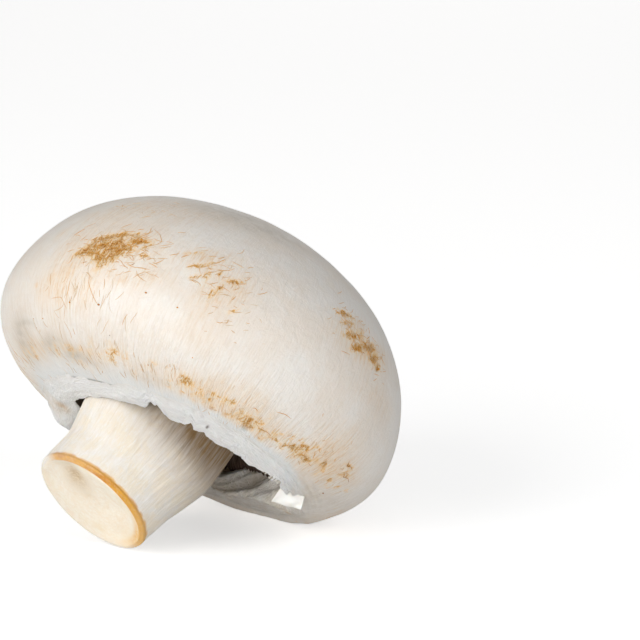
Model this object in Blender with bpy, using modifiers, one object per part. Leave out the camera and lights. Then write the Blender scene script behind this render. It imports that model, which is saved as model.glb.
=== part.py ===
"""A closed button mushroom, picked and cut, lying tipped on its cap and on the cut end of its stem.

The mushroom is modelled upright about its cap's own axis: the origin is the centre of the cap's widest ring, +Z runs to
the apex and the stem hangs down. An empty then tips the whole mushroom over until it rests on the floor, z = 0.
"""

import math

import bpy
from mathutils import Vector

MM = 0.001

# The cap's outside: a dome above its widest ring, and a margin that curls in below it.
CAP_RADIUS = 26.0 * MM
DOME_HEIGHT = 20.0 * MM
DOME_FULLNESS = 1.92
DOME_ROUNDNESS = 2.08
MARGIN_DEPTH = 9.75 * MM
RIM_RADIUS = 15.2 * MM
CAP_OVAL = 0.03

# The apex and the rim don't stand straight above and below the widest ring.
APEX_SHIFT = Vector((-0.13, 2.1)) * MM
RIM_SHIFT = Vector((0.46, 2.9)) * MM
APEX_SHIFT_POWER = 2
RIM_SHIFT_POWER = 8

# The hollow under the cap, which the gills line.
HOLLOW_RADIUS = 20.2 * MM
HOLLOW_MIDDLE = -2.0 * MM
HOLLOW_RISE = 6.4 * MM
HOLLOW_SQUARENESS = 2.6
LIP_RADIUS = 17.3 * MM
LIP_HEIGHT = -8.1 * MM

# The torn veil: a band on the underside of the margin, with a ragged free edge.
VEIL_START_DEG = 64.0
SEAT_START_DEG = 61.0
SEAT_END_DEG = 78.0
VEIL_THICKNESS = 0.8 * MM
VEIL_TEAR = 0.7 * MM
VEIL_FREE_RADIUS = 14.5 * MM
VEIL_FREE_HEIGHT = -9.5 * MM

# The gills: blades that hang from the hollow's ceiling.
GILL_COUNT = 44
GILL_INNER_RADIUS = 11.4 * MM
GILL_OUTER_EDGE = (19.5 * MM, -4.6 * MM)
GILL_INNER_EDGE_HEIGHT = -0.6 * MM
GILL_EDGE_BOW = 0.9 * MM
GROOVE_DEPTH = 3.4 * MM

# The stem: a bent round rod, thickest under the cap, and cut off across its lower end.
STEM_TOP = Vector((-0.8, 0.4, 3.5)) * MM
STEM_BEND = Vector((-0.8, 0.4, -9.0)) * MM
STEM_CUT_CENTRE = Vector((-3.7, -2.32, -20.5)) * MM
STEM_CUT_NORMAL = Vector((-0.01, -0.29, -0.95))
STEM_RADII = ((0.0, 9.5 * MM), (0.35, 9.3 * MM), (0.6, 9.3 * MM), (0.8, 7.8 * MM), (1.0, 7.9 * MM), (1.3, 7.9 * MM))
CUT_EDGE_ROUNDING = 0.5 * MM

# How the mushroom lies: the stem points this far below level, and its weight flattens where it rests.
STEM_DIP_DEG = 49.7
CAP_FLATTENED = 0.45 * MM

GAP = 0.35 * MM
MERGE = 0.02 * MM
SMOOTH_BELOW_DEG = 40.0

CAP_STEPS = 60
VEIL_STEPS = 90
STEPS_PER_GILL = 4
STEM_RINGS = 14

FLESH_WHITE = (0.80, 0.72, 0.62, 1.0)
VEIL_WHITE = (0.82, 0.81, 0.78, 1.0)
GILL_BROWN = (0.13, 0.08, 0.06, 1.0)
STEM_CREAM = (0.78, 0.70, 0.55, 1.0)


def clear_scene():
    for old in list(bpy.data.objects):
        bpy.data.objects.remove(old, do_unlink=True)


def new_collection(name, is_helper=False):
    collection = bpy.data.collections.new(name)
    bpy.context.scene.collection.children.link(collection)
    collection.hide_render = is_helper
    return collection


def surface_material(name, colour, roughness):
    material = bpy.data.materials.new(name)
    material.use_nodes = True
    shader = material.node_tree.nodes["Principled BSDF"]
    shader.inputs["Base Color"].default_value = colour
    shader.inputs["Roughness"].default_value = roughness
    shader.inputs["Metallic"].default_value = 0.0
    return material


def evaluated_mesh(source, name):
    """The mesh that an object's modifiers or curve make, as data of its own."""
    graph = bpy.context.evaluated_depsgraph_get()
    mesh = bpy.data.meshes.new_from_object(source.evaluated_get(graph))
    mesh.name = name
    return mesh


def new_object(name, mesh, collection, material):
    part = bpy.data.objects.new(name, mesh)
    collection.objects.link(part)
    mesh.materials.clear()
    mesh.materials.append(material)
    mesh.shade_smooth()
    mesh.set_sharp_from_angle(angle=math.radians(SMOOTH_BELOW_DEG))
    return part


def turned_mesh(name, profile, steps, is_ring=False):
    """Turns a profile of (radius, height) points about Z. A ring's profile is a loop that stays off the axis."""
    points = [(radius, 0.0, height) for radius, height in profile]
    edges = [(i, i + 1) for i in range(len(points) - 1)]
    if is_ring:
        edges.append((len(points) - 1, 0))
    line = bpy.data.meshes.new(name + "_profile")
    line.from_pydata(points, edges, [])
    holder = bpy.data.objects.new(name + "_profile", line)
    bpy.context.scene.collection.objects.link(holder)
    screw = holder.modifiers.new("Turn", "SCREW")
    screw.steps = steps
    screw.render_steps = steps
    screw.use_merge_vertices = True
    screw.merge_threshold = MERGE
    mesh = evaluated_mesh(holder, name)
    bpy.data.objects.remove(holder, do_unlink=True)
    return mesh


def dome_point(angle):
    """A point (radius, height) of the dome, from the widest ring at angle 0 to the apex at a right angle."""
    rise = math.sin(angle)
    radius = CAP_RADIUS * max(0.0, 1.0 - rise**DOME_FULLNESS) ** (1.0 / DOME_ROUNDNESS)
    return radius, DOME_HEIGHT * rise


def margin_point(angle):
    """A point (radius, height) of the margin, from the widest ring at angle 0 to the rim at a right angle."""
    radius = RIM_RADIUS + (CAP_RADIUS - RIM_RADIUS) * math.cos(angle)
    return radius, -MARGIN_DEPTH * math.sin(angle)


def hollow_point(angle, inset=0.0):
    """A point of the hollow: from its ceiling on the axis at a right angle, round to its lip below angle 0."""
    if angle >= 0.0:
        rise = math.sin(angle)
        radius = HOLLOW_RADIUS * max(0.0, 1.0 - rise**HOLLOW_SQUARENESS) ** (1.0 / HOLLOW_SQUARENESS)
        height = HOLLOW_MIDDLE + HOLLOW_RISE * rise
    else:
        radius = LIP_RADIUS + (HOLLOW_RADIUS - LIP_RADIUS) * math.cos(angle)
        height = HOLLOW_MIDDLE + (HOLLOW_MIDDLE - LIP_HEIGHT) * math.sin(angle)
    return max(0.0, radius - inset), height - inset


def angles(first_deg, last_deg, count):
    """Evenly spaced angles in radians, both ends included."""
    return [math.radians(first_deg + (last_deg - first_deg) * i / (count - 1)) for i in range(count)]


def growth_shift(height):
    """How far a level of the cap has grown sideways from the cap's axis."""
    if height > 0.0:
        return APEX_SHIFT * (height / DOME_HEIGHT) ** APEX_SHIFT_POWER
    return RIM_SHIFT * (-height / MARGIN_DEPTH) ** RIM_SHIFT_POWER


def grow_unevenly(mesh):
    """Makes a turned mesh slightly oval and moves its levels sideways, as the cap grew."""
    for vertex in mesh.vertices:
        x, y, z = vertex.co
        oval = 1.0 - CAP_OVAL * math.cos(2.0 * math.atan2(y, x))
        shift = growth_shift(z)
        vertex.co = (x * oval + shift.x, y * oval + shift.y, z)


def make_cap(collection):
    """The cap's flesh and skin: one solid, hollow underneath, with a seat for the veil on its margin."""
    profile = [dome_point(a) for a in angles(90, 0, 13)]
    profile += [margin_point(a) for a in angles(10, SEAT_START_DEG, 6)]
    seat = VEIL_THICKNESS + GAP
    for a in angles(SEAT_START_DEG + 1, SEAT_END_DEG, 3):
        radius, height = margin_point(a)
        profile.append((radius, height + seat))
    profile += [hollow_point(a) for a in angles(-90, 0, 5)]
    profile += [hollow_point(a) for a in angles(15, 90, 6)]
    mesh = turned_mesh("cap", profile, CAP_STEPS)
    grow_unevenly(mesh)
    return new_object("cap", mesh, collection, surface_material("cap_skin", FLESH_WHITE, 0.6))


def tear_depth(turn):
    """How far the veil's free edge has torn back, from 0 to 1, at an angle round the rim."""
    ripple = math.sin(5.0 * turn + 0.6) + 0.8 * math.sin(11.0 * turn + 2.0) + 0.6 * math.sin(23.0 * turn)
    return 0.5 + 0.5 * ripple / 2.4


def make_torn_veil(collection):
    """What is left of the veil after it tore from the stem: a thin band under the margin with a ragged edge."""
    outside = [margin_point(a) for a in angles(VEIL_START_DEG, 90, 5)]
    outside.append((VEIL_FREE_RADIUS, VEIL_FREE_HEIGHT))
    inside = [(radius, height + VEIL_THICKNESS) for radius, height in reversed(outside)]
    mesh = turned_mesh("torn_veil", outside + inside, VEIL_STEPS, is_ring=True)
    edge_limit = RIM_RADIUS - GAP
    for vertex in mesh.vertices:
        x, y, z = vertex.co
        radius = math.hypot(x, y)
        if radius < edge_limit:
            torn = (radius + VEIL_TEAR * tear_depth(math.atan2(y, x))) / radius
            vertex.co = (x * torn, y * torn, z)
    grow_unevenly(mesh)
    return new_object("torn_veil", mesh, collection, surface_material("veil", VEIL_WHITE, 0.75))


def make_gills(collection):
    """The gills: a ring under the hollow's ceiling, pleated below into blades with grooves between them."""
    ceiling = [point for point in (hollow_point(a, GAP) for a in angles(-24, 84, 8)) if point[0] > GILL_INNER_RADIUS]
    top = [(GILL_INNER_RADIUS, ceiling[-1][1])] + list(reversed(ceiling))
    outer_radius, outer_height = GILL_OUTER_EDGE
    underside = []
    for share in (0.0, 0.3, 0.65, 1.0):
        radius = outer_radius + (GILL_INNER_RADIUS - outer_radius) * share
        height = outer_height + (GILL_INNER_EDGE_HEIGHT - outer_height) * share
        underside.append((radius, height + GILL_EDGE_BOW * math.sin(math.pi * share)))
    mesh = turned_mesh("gills", top + underside, GILL_COUNT * STEPS_PER_GILL, is_ring=True)
    pitch = 2.0 * math.pi / GILL_COUNT
    for vertex in mesh.vertices:
        x, y, z = vertex.co
        radius = math.hypot(x, y)
        share = (outer_radius - radius) / (outer_radius - GILL_INNER_RADIUS)
        is_underside = any(abs(z - height) < MERGE and abs(radius - at) < MERGE for at, height in underside)
        step_in_gill = round((math.atan2(y, x) % pitch) / pitch * STEPS_PER_GILL) % STEPS_PER_GILL
        if is_underside and step_in_gill >= STEPS_PER_GILL // 2:
            vertex.co.z += GROOVE_DEPTH * min(1.0, 2.0 * share)
    grow_unevenly(mesh)
    return new_object("gills", mesh, collection, surface_material("gill", GILL_BROWN, 0.7))


def stem_axis(share):
    """A point of the stem's bent axis, from its top at 0 to the middle of its cut at 1."""
    rest = 1.0 - share
    return STEM_TOP * rest**2 + STEM_BEND * (2.0 * share * rest) + STEM_CUT_CENTRE * share**2


def stem_radius(share):
    """The stem's radius at a share of its length, eased between the stated radii."""
    for (start, before), (end, after) in zip(STEM_RADII, STEM_RADII[1:]):
        if share <= end:
            part = (share - start) / (end - start)
            ease = part * part * (3.0 - 2.0 * part)
            return before + (after - before) * ease
    return STEM_RADII[-1][1]


def make_stem(collection, cutters):
    """The stem: a thick round curve along its bent axis, cut off by a flat knife block."""
    curve = bpy.data.curves.new("stem_axis", "CURVE")
    curve.dimensions = "3D"
    curve.bevel_depth = 1.0
    curve.bevel_resolution = 8
    curve.use_fill_caps = True
    spline = curve.splines.new("POLY")
    spline.points.add(STEM_RINGS - 1)
    past_the_cut = 1.25
    for i, point in enumerate(spline.points):
        share = past_the_cut * i / (STEM_RINGS - 1)
        point.co = (*stem_axis(share), 1.0)
        point.radius = stem_radius(share)
    holder = bpy.data.objects.new("stem_axis", curve)
    bpy.context.scene.collection.objects.link(holder)
    mesh = evaluated_mesh(holder, "stem")
    bpy.data.objects.remove(holder, do_unlink=True)
    stem = new_object("stem", mesh, collection, surface_material("stem_skin", STEM_CREAM, 0.65))
    weld = stem.modifiers.new("Weld caps", "WELD")
    weld.merge_threshold = MERGE
    knife_size = 40.0 * MM
    normal = STEM_CUT_NORMAL.normalized()
    knife = add_block("stem_knife", (knife_size, knife_size, knife_size), cutters)
    knife.rotation_euler = normal.to_track_quat("Z", "Y").to_euler()
    knife.location = STEM_CUT_CENTRE + normal * (knife_size / 2.0)
    cut_with(stem, knife, "Cut across")
    rounding = stem.modifiers.new("Round the cut edge", "BEVEL")
    rounding.width = CUT_EDGE_ROUNDING
    rounding.segments = 2
    rounding.limit_method = "ANGLE"
    rounding.angle_limit = math.radians(50.0)
    return stem, knife


def add_block(name, size, cutters):
    bpy.ops.mesh.primitive_cube_add(size=1.0)
    block = bpy.context.object
    block.name = name
    for vertex in block.data.vertices:
        vertex.co = [value * side for value, side in zip(vertex.co, size)]
    for holder in list(block.users_collection):
        holder.objects.unlink(block)
    cutters.objects.link(block)
    block.hide_render = True
    block.display_type = "WIRE"
    return block


def cut_with(part, cutter, label):
    boolean = part.modifiers.new(label, "BOOLEAN")
    boolean.operation = "DIFFERENCE"
    boolean.solver = "EXACT"
    boolean.object = cutter


def world_bounds(parts):
    """The lowest and highest corner that holds all the parts, with their modifiers."""
    bpy.context.view_layer.update()
    graph = bpy.context.evaluated_depsgraph_get()
    corners = []
    for part in parts:
        evaluated = part.evaluated_get(graph)
        corners += [evaluated.matrix_world @ vertex.co for vertex in evaluated.data.vertices]
    low = Vector([min(corner[i] for corner in corners) for i in range(3)])
    high = Vector([max(corner[i] for corner in corners) for i in range(3)])
    return low, high


def lay_down(mushroom, parts, resting, cutters):
    """Tips the mushroom over, lowers it until its cap flattens a little, and centres it over the origin."""
    mushroom.rotation_euler.x = -math.radians(90.0 - STEM_DIP_DEG)
    low, _ = world_bounds([parts["cap"]])
    mushroom.location.z = -low.z - CAP_FLATTENED
    floor_side = 200.0 * MM
    floor = add_block("floor_block", (floor_side, floor_side, floor_side / 10.0), cutters)
    floor.location.z = -floor_side / 20.0
    for name in resting:
        cut_with(parts[name], floor, "Flatten on the floor")
    low, high = world_bounds(parts.values())
    mushroom.location.x = -(low.x + high.x) / 2.0
    mushroom.location.y = -(low.y + high.y) / 2.0


def main():
    clear_scene()
    collection = new_collection("button_mushroom")
    cutters = new_collection("cutters", is_helper=True)
    mushroom = bpy.data.objects.new("mushroom", None)
    collection.objects.link(mushroom)
    stem, knife = make_stem(collection, cutters)
    parts = {
        "cap": make_cap(collection),
        "torn_veil": make_torn_veil(collection),
        "gills": make_gills(collection),
        "stem": stem,
    }
    for part in [*parts.values(), knife]:
        part.parent = mushroom
    lay_down(mushroom, parts, ("cap", "torn_veil", "stem"), cutters)
    bpy.context.view_layer.update()


main()
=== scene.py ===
"""Button mushroom with a bruised cap and a torn veil, lying on its side on a pale floor.

Every piece is worked out upright, in millimetres, with the cap's widest ring at
height 0 and its top along +Z. One matrix then tips the pieces over and sets them
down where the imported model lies.
"""

import math
import random

import bpy
import numpy as np
from bpy.props import FloatProperty, FloatVectorProperty, IntProperty, PointerProperty
from mathutils import Matrix, Vector


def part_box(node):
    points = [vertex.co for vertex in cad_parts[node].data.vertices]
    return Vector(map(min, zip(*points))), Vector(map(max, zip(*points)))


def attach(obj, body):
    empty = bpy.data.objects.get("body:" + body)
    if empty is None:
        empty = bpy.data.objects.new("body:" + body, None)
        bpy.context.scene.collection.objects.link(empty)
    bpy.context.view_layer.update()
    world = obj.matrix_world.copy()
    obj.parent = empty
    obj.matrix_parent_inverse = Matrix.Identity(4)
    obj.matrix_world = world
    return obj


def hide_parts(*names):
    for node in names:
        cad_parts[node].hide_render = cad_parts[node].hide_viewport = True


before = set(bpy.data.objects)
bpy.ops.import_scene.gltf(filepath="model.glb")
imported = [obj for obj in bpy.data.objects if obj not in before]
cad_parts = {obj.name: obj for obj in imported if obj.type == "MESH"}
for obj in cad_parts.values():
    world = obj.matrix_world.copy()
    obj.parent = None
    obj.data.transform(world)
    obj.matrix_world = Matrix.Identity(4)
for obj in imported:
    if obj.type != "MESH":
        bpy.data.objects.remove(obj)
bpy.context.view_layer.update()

bl_info = {
    "name": "Button Mushroom",
    "version": (1, 0, 0),
    "blender": (4, 5, 0),
    "location": "View3D > Sidebar > Mushroom",
    "description": "Builds a picked button mushroom lying on its side",
    "category": "Add Mesh",
}

MM = 0.001
UPRIGHT = np.array((0.0, 0.0, 1.0))
BODY = "root"
CAP_OVAL = 0.03
CAP_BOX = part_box("cap")

# Form of the cap, in millimetres
DOME_FULLNESS = 1.92
DOME_ROUNDNESS = 2.08
APEX_SHIFT = (-0.13, 2.1)
APEX_SHIFT_POWER = 2
RIM_SHIFT = (0.46, 2.9)
RIM_SHIFT_POWER = 8
EDGE_DEG = 80.0
LINING = ((16.5, -9.5), (17.6, -8.6), (20.0, -6.4))
HOLLOW_RADIUS = 20.2
HOLLOW_MIDDLE = -2.0
HOLLOW_RISE = 6.4
HOLLOW_SQUARENESS = 2.6
HOLLOW_SPACING = 0.8
CAP_COLUMNS = 520
CAP_ROWS = 164
LINING_ROWS = 24
CAP_GRAIN_RADIUS = 26.0
LINING_GRAIN_STEP = 0.9

# How far the stem dips below level as the mushroom lies
STEM_DIP_DEG = 49.7

# Marks on the cap: degrees around, millimetres up from the widest ring, half length,
# half width, lean from the grain in degrees, strength
BRUISE = (
    (-89.0, 1.3, 1.1, 0.55, 50, 0.85),
    (-86.6, 2.3, 1.3, 0.6, 55, 0.9),
    (-85.5, 4.0, 1.5, 0.4, 62, 0.8),
    (-83.0, 3.1, 1.7, 0.62, 60, 1.0),
    (-80.6, 3.8, 1.0, 0.5, 10, 1.0),
    (-79.4, 2.6, 1.2, 0.6, 50, 0.72),
    (-83.6, 1.1, 0.8, 0.5, 20, 0.85),
    (-85.8, 1.4, 1.0, 0.4, 80, 0.6),
    (-76.2, 4.9, 0.7, 0.5, 5, 0.95),
    (-74.3, 5.2, 0.9, 0.4, 60, 0.7),
    (-80.8, 1.9, 1.2, 0.6, 20, 0.8),
    (-78.6, 2.2, 1.2, 0.55, 10, 0.75),
    (-77.4, 3.4, 0.9, 0.6, 30, 0.8),
    (-82.2, 1.6, 1.0, 0.5, 0, 0.8),
    (-84.4, 2.6, 1.4, 0.7, 50, 0.4),
    (-78.4, 5.6, 1.2, 0.4, 60, 0.6),
    (-76.8, 2.9, 1.2, 0.5, 60, 0.42),
    (-80.5, 0.4, 1.2, 0.45, 40, 0.42),
    (0.6, 8.8, 1.5, 0.7, 60, 0.72),
    (3.4, 7.9, 1.4, 0.65, 60, 0.72),
    (6.6, 7.2, 0.7, 0.45, 40, 0.8),
    (-11.0, 9.5, 1.6, 0.3, 55, 0.5),
    (-8.0, 8.3, 1.7, 0.5, 60, 0.85),
    (-5.2, 7.2, 1.4, 0.5, 50, 0.8),
    (-12.2, 10.6, 1.6, 0.5, 70, 0.8),
    (-3.8, 10.0, 0.7, 0.3, 60, 0.45),
    (-58.0, 4.7, 1.0, 0.34, 50, 0.5),
    (-55.4, 5.8, 1.0, 0.32, 40, 0.45),
    (-54.4, 4.2, 0.8, 0.34, 0, 0.55),
    (-47.6, 5.0, 1.0, 0.36, 60, 0.6),
    (-50.0, 3.4, 0.4, 0.3, 0, 0.6),
    (-52.0, 5.0, 0.35, 0.25, 0, 0.6),
    (-44.0, 1.5, 0.7, 0.3, 40, 0.4),
    (-51.0, 2.2, 0.9, 0.4, 10, 0.5),
    (-57.0, 3.2, 0.8, 0.32, 50, 0.55),
    (-61.0, 6.2, 1.2, 0.3, 50, 0.35),
    (-72.6, 4.6, 0.9, 0.3, 30, 0.5),
    (-71.6, 3.2, 0.8, 0.25, 60, 0.5),
    (-81.4, 5.2, 1.4, 0.35, 64, 0.6),
    (-87.6, 2.9, 0.9, 0.35, 40, 0.6),
    (-24.0, -9.3, 1.0, 0.75, 10, 0.85),
    (-48.0, -8.7, 0.7, 0.6, 10, 0.6),
    (16.5, -4.8, 1.3, 0.3, 80, 0.5),
    (18.5, -6.0, 1.2, 0.4, 70, 0.5),
    (2.0, -8.4, 0.6, 0.5, 0, 0.62),
    (-4.0, -7.8, 0.5, 0.4, 0, 0.5),
    (-19.0, -9.1, 0.6, 0.35, 70, 0.5),
)
HAZE = (
    (-90.0, -1.2, 1.1, 0.8, 30, 0.7),
    (-80.0, -0.9, 2.4, 1.6, 60, 0.4),
    (-74.0, -0.7, 0.7, 0.5, 40, 0.75),
    (-68.0, 0.7, 3.6, 1.5, 60, 0.36),
    (-82.0, 2.8, 5.4, 2.8, 58, 0.8),
    (-91.0, -3.6, 3.0, 2.4, 0, 0.55),
    (-83.0, -3.2, 2.4, 1.2, 0, 0.4),
    (-98.0, -4.4, 1.8, 1.4, 0, 0.4),
    (-56.0, 4.6, 1.8, 1.2, 50, 0.45),
    (-96.0, -2.6, 0.8, 0.45, 10, 0.75),
    (-102.0, -3.6, 0.35, 0.35, 0, 0.9),
    (-103.0, 4.2, 1.6, 1.0, 30, 0.35),
    (-92.0, 9.5, 5.0, 3.2, 30, 0.36),
    (-75.0, 13.0, 5.0, 3.2, 60, 0.3),
    (-96.0, 1.7, 2.0, 1.0, 20, 0.3),
    (-58.0, 6.4, 3.6, 1.3, 60, 0.55),
    (-48.0, 4.0, 3.4, 2.4, 30, 0.55),
    (-50.0, 0.0, 4.0, 3.0, 10, 0.2),
    (2.0, 8.2, 4.2, 1.7, 65, 0.9),
    (-9.0, 9.0, 3.4, 1.7, 55, 0.7),
    (10.0, 3.5, 5.0, 1.8, 80, 0.25),
    (4.0, -5.8, 3.6, 3.0, 30, 0.8),
    (12.0, -6.4, 3.8, 2.0, 60, 0.75),
    (-30.0, -6.6, 3.0, 1.8, 80, 0.45),
    (20.0, -6.0, 2.6, 1.2, 70, 0.6),
    (-16.0, -8.4, 3.0, 1.0, 70, 0.5),
    (-40.0, -8.6, 4.6, 1.9, 80, 0.5),
    (-112.0, -11.6, 2.2, 1.3, 80, 0.5),
    (-130.0, 5.0, 7.0, 4.0, 40, 0.24),
    (150.0, 6.0, 6.0, 5.0, 20, 0.3),
    (95.0, 2.0, 7.0, 4.0, 10, 0.28),
    (60.0, -7.0, 5.0, 2.6, 70, 0.34),
    (-165.0, -8.0, 5.0, 2.2, 80, 0.36),
)
# Greyed skin: the marks low on the margin are greyish-brown dirt; those 18 mm and more up the dome are
# partly greyer skin and partly painted shade that darkens the top of the cap
GREY_AND_SHADE = (
    (-101.0, -10.4, 2.4, 1.0, 70, 0.75),
    (-92.0, -11.2, 2.2, 1.0, 70, 0.7),
    (-118.0, -9.5, 4.0, 2.2, 60, 0.6),
    (-110.0, -8.0, 0.4, 2.6, 0, 0.4),
    (-84.0, -11.6, 0.5, 1.6, 10, 0.5),
    (-60.0, -11.0, 3.4, 0.8, 75, 0.24),
    (60.0, 20.0, 16.0, 14.0, 0, 0.3),
    (-150.0, 22.0, 18.0, 14.0, 0, 0.3),
    (-62.0, 19.4, 6.0, 2.6, 60, 0.55),
    (-50.0, 18.0, 8.0, 2.6, 70, 0.5),
    (14.0, 0.0, 7.0, 6.0, 0, 0.14),
    (32.0, -10.5, 6.0, 4.5, 60, 0.36),
    (14.0, -12.2, 4.0, 1.6, 75, 0.3),
    (70.0, -13.0, 9.0, 3.6, 85, 0.34),
)
# Specks: degrees around, millimetres up, half length
SPOTS = (
    (-99.0, -7.5, 0.10),
    (-104.0, -7.6, 0.08),
    (-104.0, -8.6, 0.07),
    (-66.0, -1.1, 0.14),
    (-57.0, -1.2, 0.12),
    (-75.4, 5.2, 0.19),
    (-88.5, 0.5, 0.09),
    (-77.4, -4.3, 0.16),
    (-87.0, -5.0, 0.14),
    (-52.0, 4.9, 0.10),
    (-50.0, 3.2, 0.11),
    (-47.0, 4.9, 0.09),
    (7.0, 7.1, 0.19),
    (-7.0, 6.4, 0.09),
    (-48.0, -5.6, 0.09),
    (-60.0, -9.0, 0.09),
    (23.0, -9.6, 0.15),
)
SPOT_TONE = 0.9

# Fibres with a given run: tone, then points as (degrees around, millimetres up)
TRAILS = (
    (0.75, (-82.6, -1.3), (-82.4, -2.1), (-80.4, -3.2), (-78.6, -4.0), (-77.4, -4.4)),
    (0.6, (-78.2, -1.2), (-77.6, -1.7), (-77.2, -2.4)),
    (0.55, (-88.4, -2.4), (-88.2, -3.6), (-88.6, -5.0)),
    (0.6, (-94.4, -5.0), (-92.0, -4.7), (-90.4, -4.6), (-89.2, -5.2), (-88.0, -5.8)),
    (0.55, (-96.6, -2.0), (-96.0, -2.6), (-95.4, -3.5)),
    (0.5, (-82.0, 8.6), (-81.0, 9.4), (-80.0, 9.7)),
    (0.55, (-75.2, 7.5), (-72.4, 7.0), (-70.2, 6.0), (-70.8, 5.2), (-72.2, 4.7)),
    (0.6, (-72.2, 2.4), (-71.0, 3.1), (-69.8, 3.3)),
    (0.65, (-74.6, 1.3), (-72.0, 1.3), (-70.4, 1.5), (-68.0, 1.7)),
    (0.5, (-76.6, 1.6), (-75.0, 1.1), (-73.6, 0.9)),
    (0.5, (-59.4, 4.7), (-57.6, 4.6), (-56.0, 3.8)),
    (0.5, (-55.4, 3.3), (-54.8, 4.4), (-53.6, 4.9)),
    (0.55, (-49.4, 4.5), (-47.6, 5.1), (-46.0, 4.7)),
    (0.45, (-45.4, 1.3), (-43.6, 1.4), (-42.0, 1.9)),
    (0.6, (-14.4, 10.2), (-12.0, 10.8), (-10.0, 10.8)),
    (0.6, (-12.4, 9.8), (-10.0, 9.2), (-8.0, 8.3), (-5.2, 7.1)),
    (0.9, (14.0, -4.4), (15.6, -5.0), (17.4, -4.7), (19.2, -4.9)),
    (0.9, (18.0, -5.7), (19.6, -6.2), (21.6, -5.8), (24.2, -6.0)),
    (0.8, (-19.4, -5.9), (-16.6, -5.5), (-14.2, -5.5)),
    (0.8, (-26.4, -7.3), (-25.0, -7.0), (-24.0, -7.2)),
    (0.6, (-22.0, -8.7), (-20.0, -9.0), (-17.0, -8.8), (-14.6, -8.9)),
)
TRAIL_WIDTH = 0.038

# Fields of fine fibres: degrees around, millimetres up, spread of each in millimetres,
# lean from the grain in degrees, length, how many, palest and darkest tone
FIBRE_FIELDS = (
    (-83.0, -3.2, 3.8, 2.2, 180, 1.9, 46, 0.0, 0.4),
    (-82.0, 2.6, 4.0, 1.8, 60, 1.3, 44, 0.3, 0.95),
    (-74.0, 3.4, 1.8, 1.8, 70, 1.2, 40, 0.2, 0.8),
    (-53.0, 4.6, 2.6, 1.7, 55, 1.3, 46, 0.15, 0.75),
    (-46.0, 1.6, 2.0, 1.8, 60, 0.9, 20, 0.1, 0.6),
    (-9.0, 9.2, 2.0, 1.7, 60, 1.3, 44, 0.2, 0.9),
    (3.0, 8.0, 1.8, 1.1, 75, 1.1, 44, 0.3, 0.9),
    (6.0, -6.4, 3.4, 1.6, 150, 0.8, 44, 0.1, 0.8),
    (-88.0, 12.0, 3.0, 2.0, 90, 1.0, 16, 0.0, 0.4),
)
FIBRE_SEED = 21
FIBRE_STEPS = 7
FIBRE_SIDES = 5
FIBRE_FLATNESS = 0.6

# Tanned band near the margin: degrees around, its height and its strength
MARGIN_BAND = (
    (-180, -10.5, 0.35),
    (-150, -10.5, 0.4),
    (-125, -11.0, 0.75),
    (-100, -11.2, 0.9),
    (-88, -11.2, 0.7),
    (-70, -9.6, 0.75),
    (-60, -9.8, 0.8),
    (-48, -9.2, 0.95),
    (-40, -9.3, 1.0),
    (-30, -9.3, 1.0),
    (-22, -9.2, 1.0),
    (-12, -8.2, 0.8),
    (0, -8.0, 0.7),
    (14, -6.8, 0.5),
    (30, -8.0, 0.25),
    (90, -10.0, 0.35),
    (140, -10.5, 0.4),
    (180, -10.5, 0.35),
)
STREWN_SEED = 33
STREWN_MARKS = 190
STREWN_ARC = (-125, 30)

# Where the skin gives way to the white veil: degrees around, height
SEAM = (
    (-180, -13.2),
    (-110, -13.5),
    (-80, -13.3),
    (-61, -12.2),
    (-42, -11.4),
    (-26, -10.8),
    (-12, -10.7),
    (2, -11.2),
    (14, -12.4),
    (30, -13.2),
    (90, -13.4),
    (180, -13.2),
)

# Torn edge of the veil: degrees around, radius about the mouth's centre
TEAR = (
    (-180, 13.4),
    (-165, 13.6),
    (-150, 13.6),
    (-136, 14.0),
    (-124, 13.4),
    (-117, 13.0),
    (-105, 12.9),
    (-90, 12.3),
    (-77, 13.2),
    (-71, 13.4),
    (-68, 14.6),
    (-64, 16.6),
    (-61, 16.6),
    (-59, 14.4),
    (-56, 13.2),
    (-48, 14.8),
    (-45.4, 16.0),
    (-44, 13.9),
    (-39, 15.2),
    (-30, 13.5),
    (-22.5, 15.7),
    (-12, 14.9),
    (-3.6, 16.9),
    (5, 17.3),
    (9, 16.8),
    (14, 16.1),
    (22, 15.2),
    (29, 14.6),
    (34, 14.2),
    (38, 14.4),
    (42, 15.2),
    (53, 15.9),
    (67, 15.0),
    (77, 13.9),
    (90, 13.2),
    (105, 14.2),
    (111, 13.6),
    (130, 13.3),
    (150, 13.9),
    (180, 13.4),
)
VEIL_STAINS = (
    (-147, -15.6, 1.3, 0.8, 60, 0.9),
    (-150, -14.4, 1.6, 0.9, 70, 0.4),
    (59, -15.8, 0.6, 0.8, 0, 0.8),
)
VEIL_FLECKS = ((-38.2, -13.6, 0.45, 0.13, 20, 1.0),)
VEIL_COLUMNS = 900
VEIL_ROWS = 38
VEIL_INNER_ROWS = 34
VEIL_ROOT = (18.3, -8.2)
VEIL_WALL_RADIUS = 15.6
VEIL_WALL_HEIGHT = 6.6
VEIL_WALL_SHARE = 0.72
VEIL_GRAIN_RADIUS = 15.0
VEIL_LIP_GRAIN = 0.3
VEIL_INNER_GRAIN = 4

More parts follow.
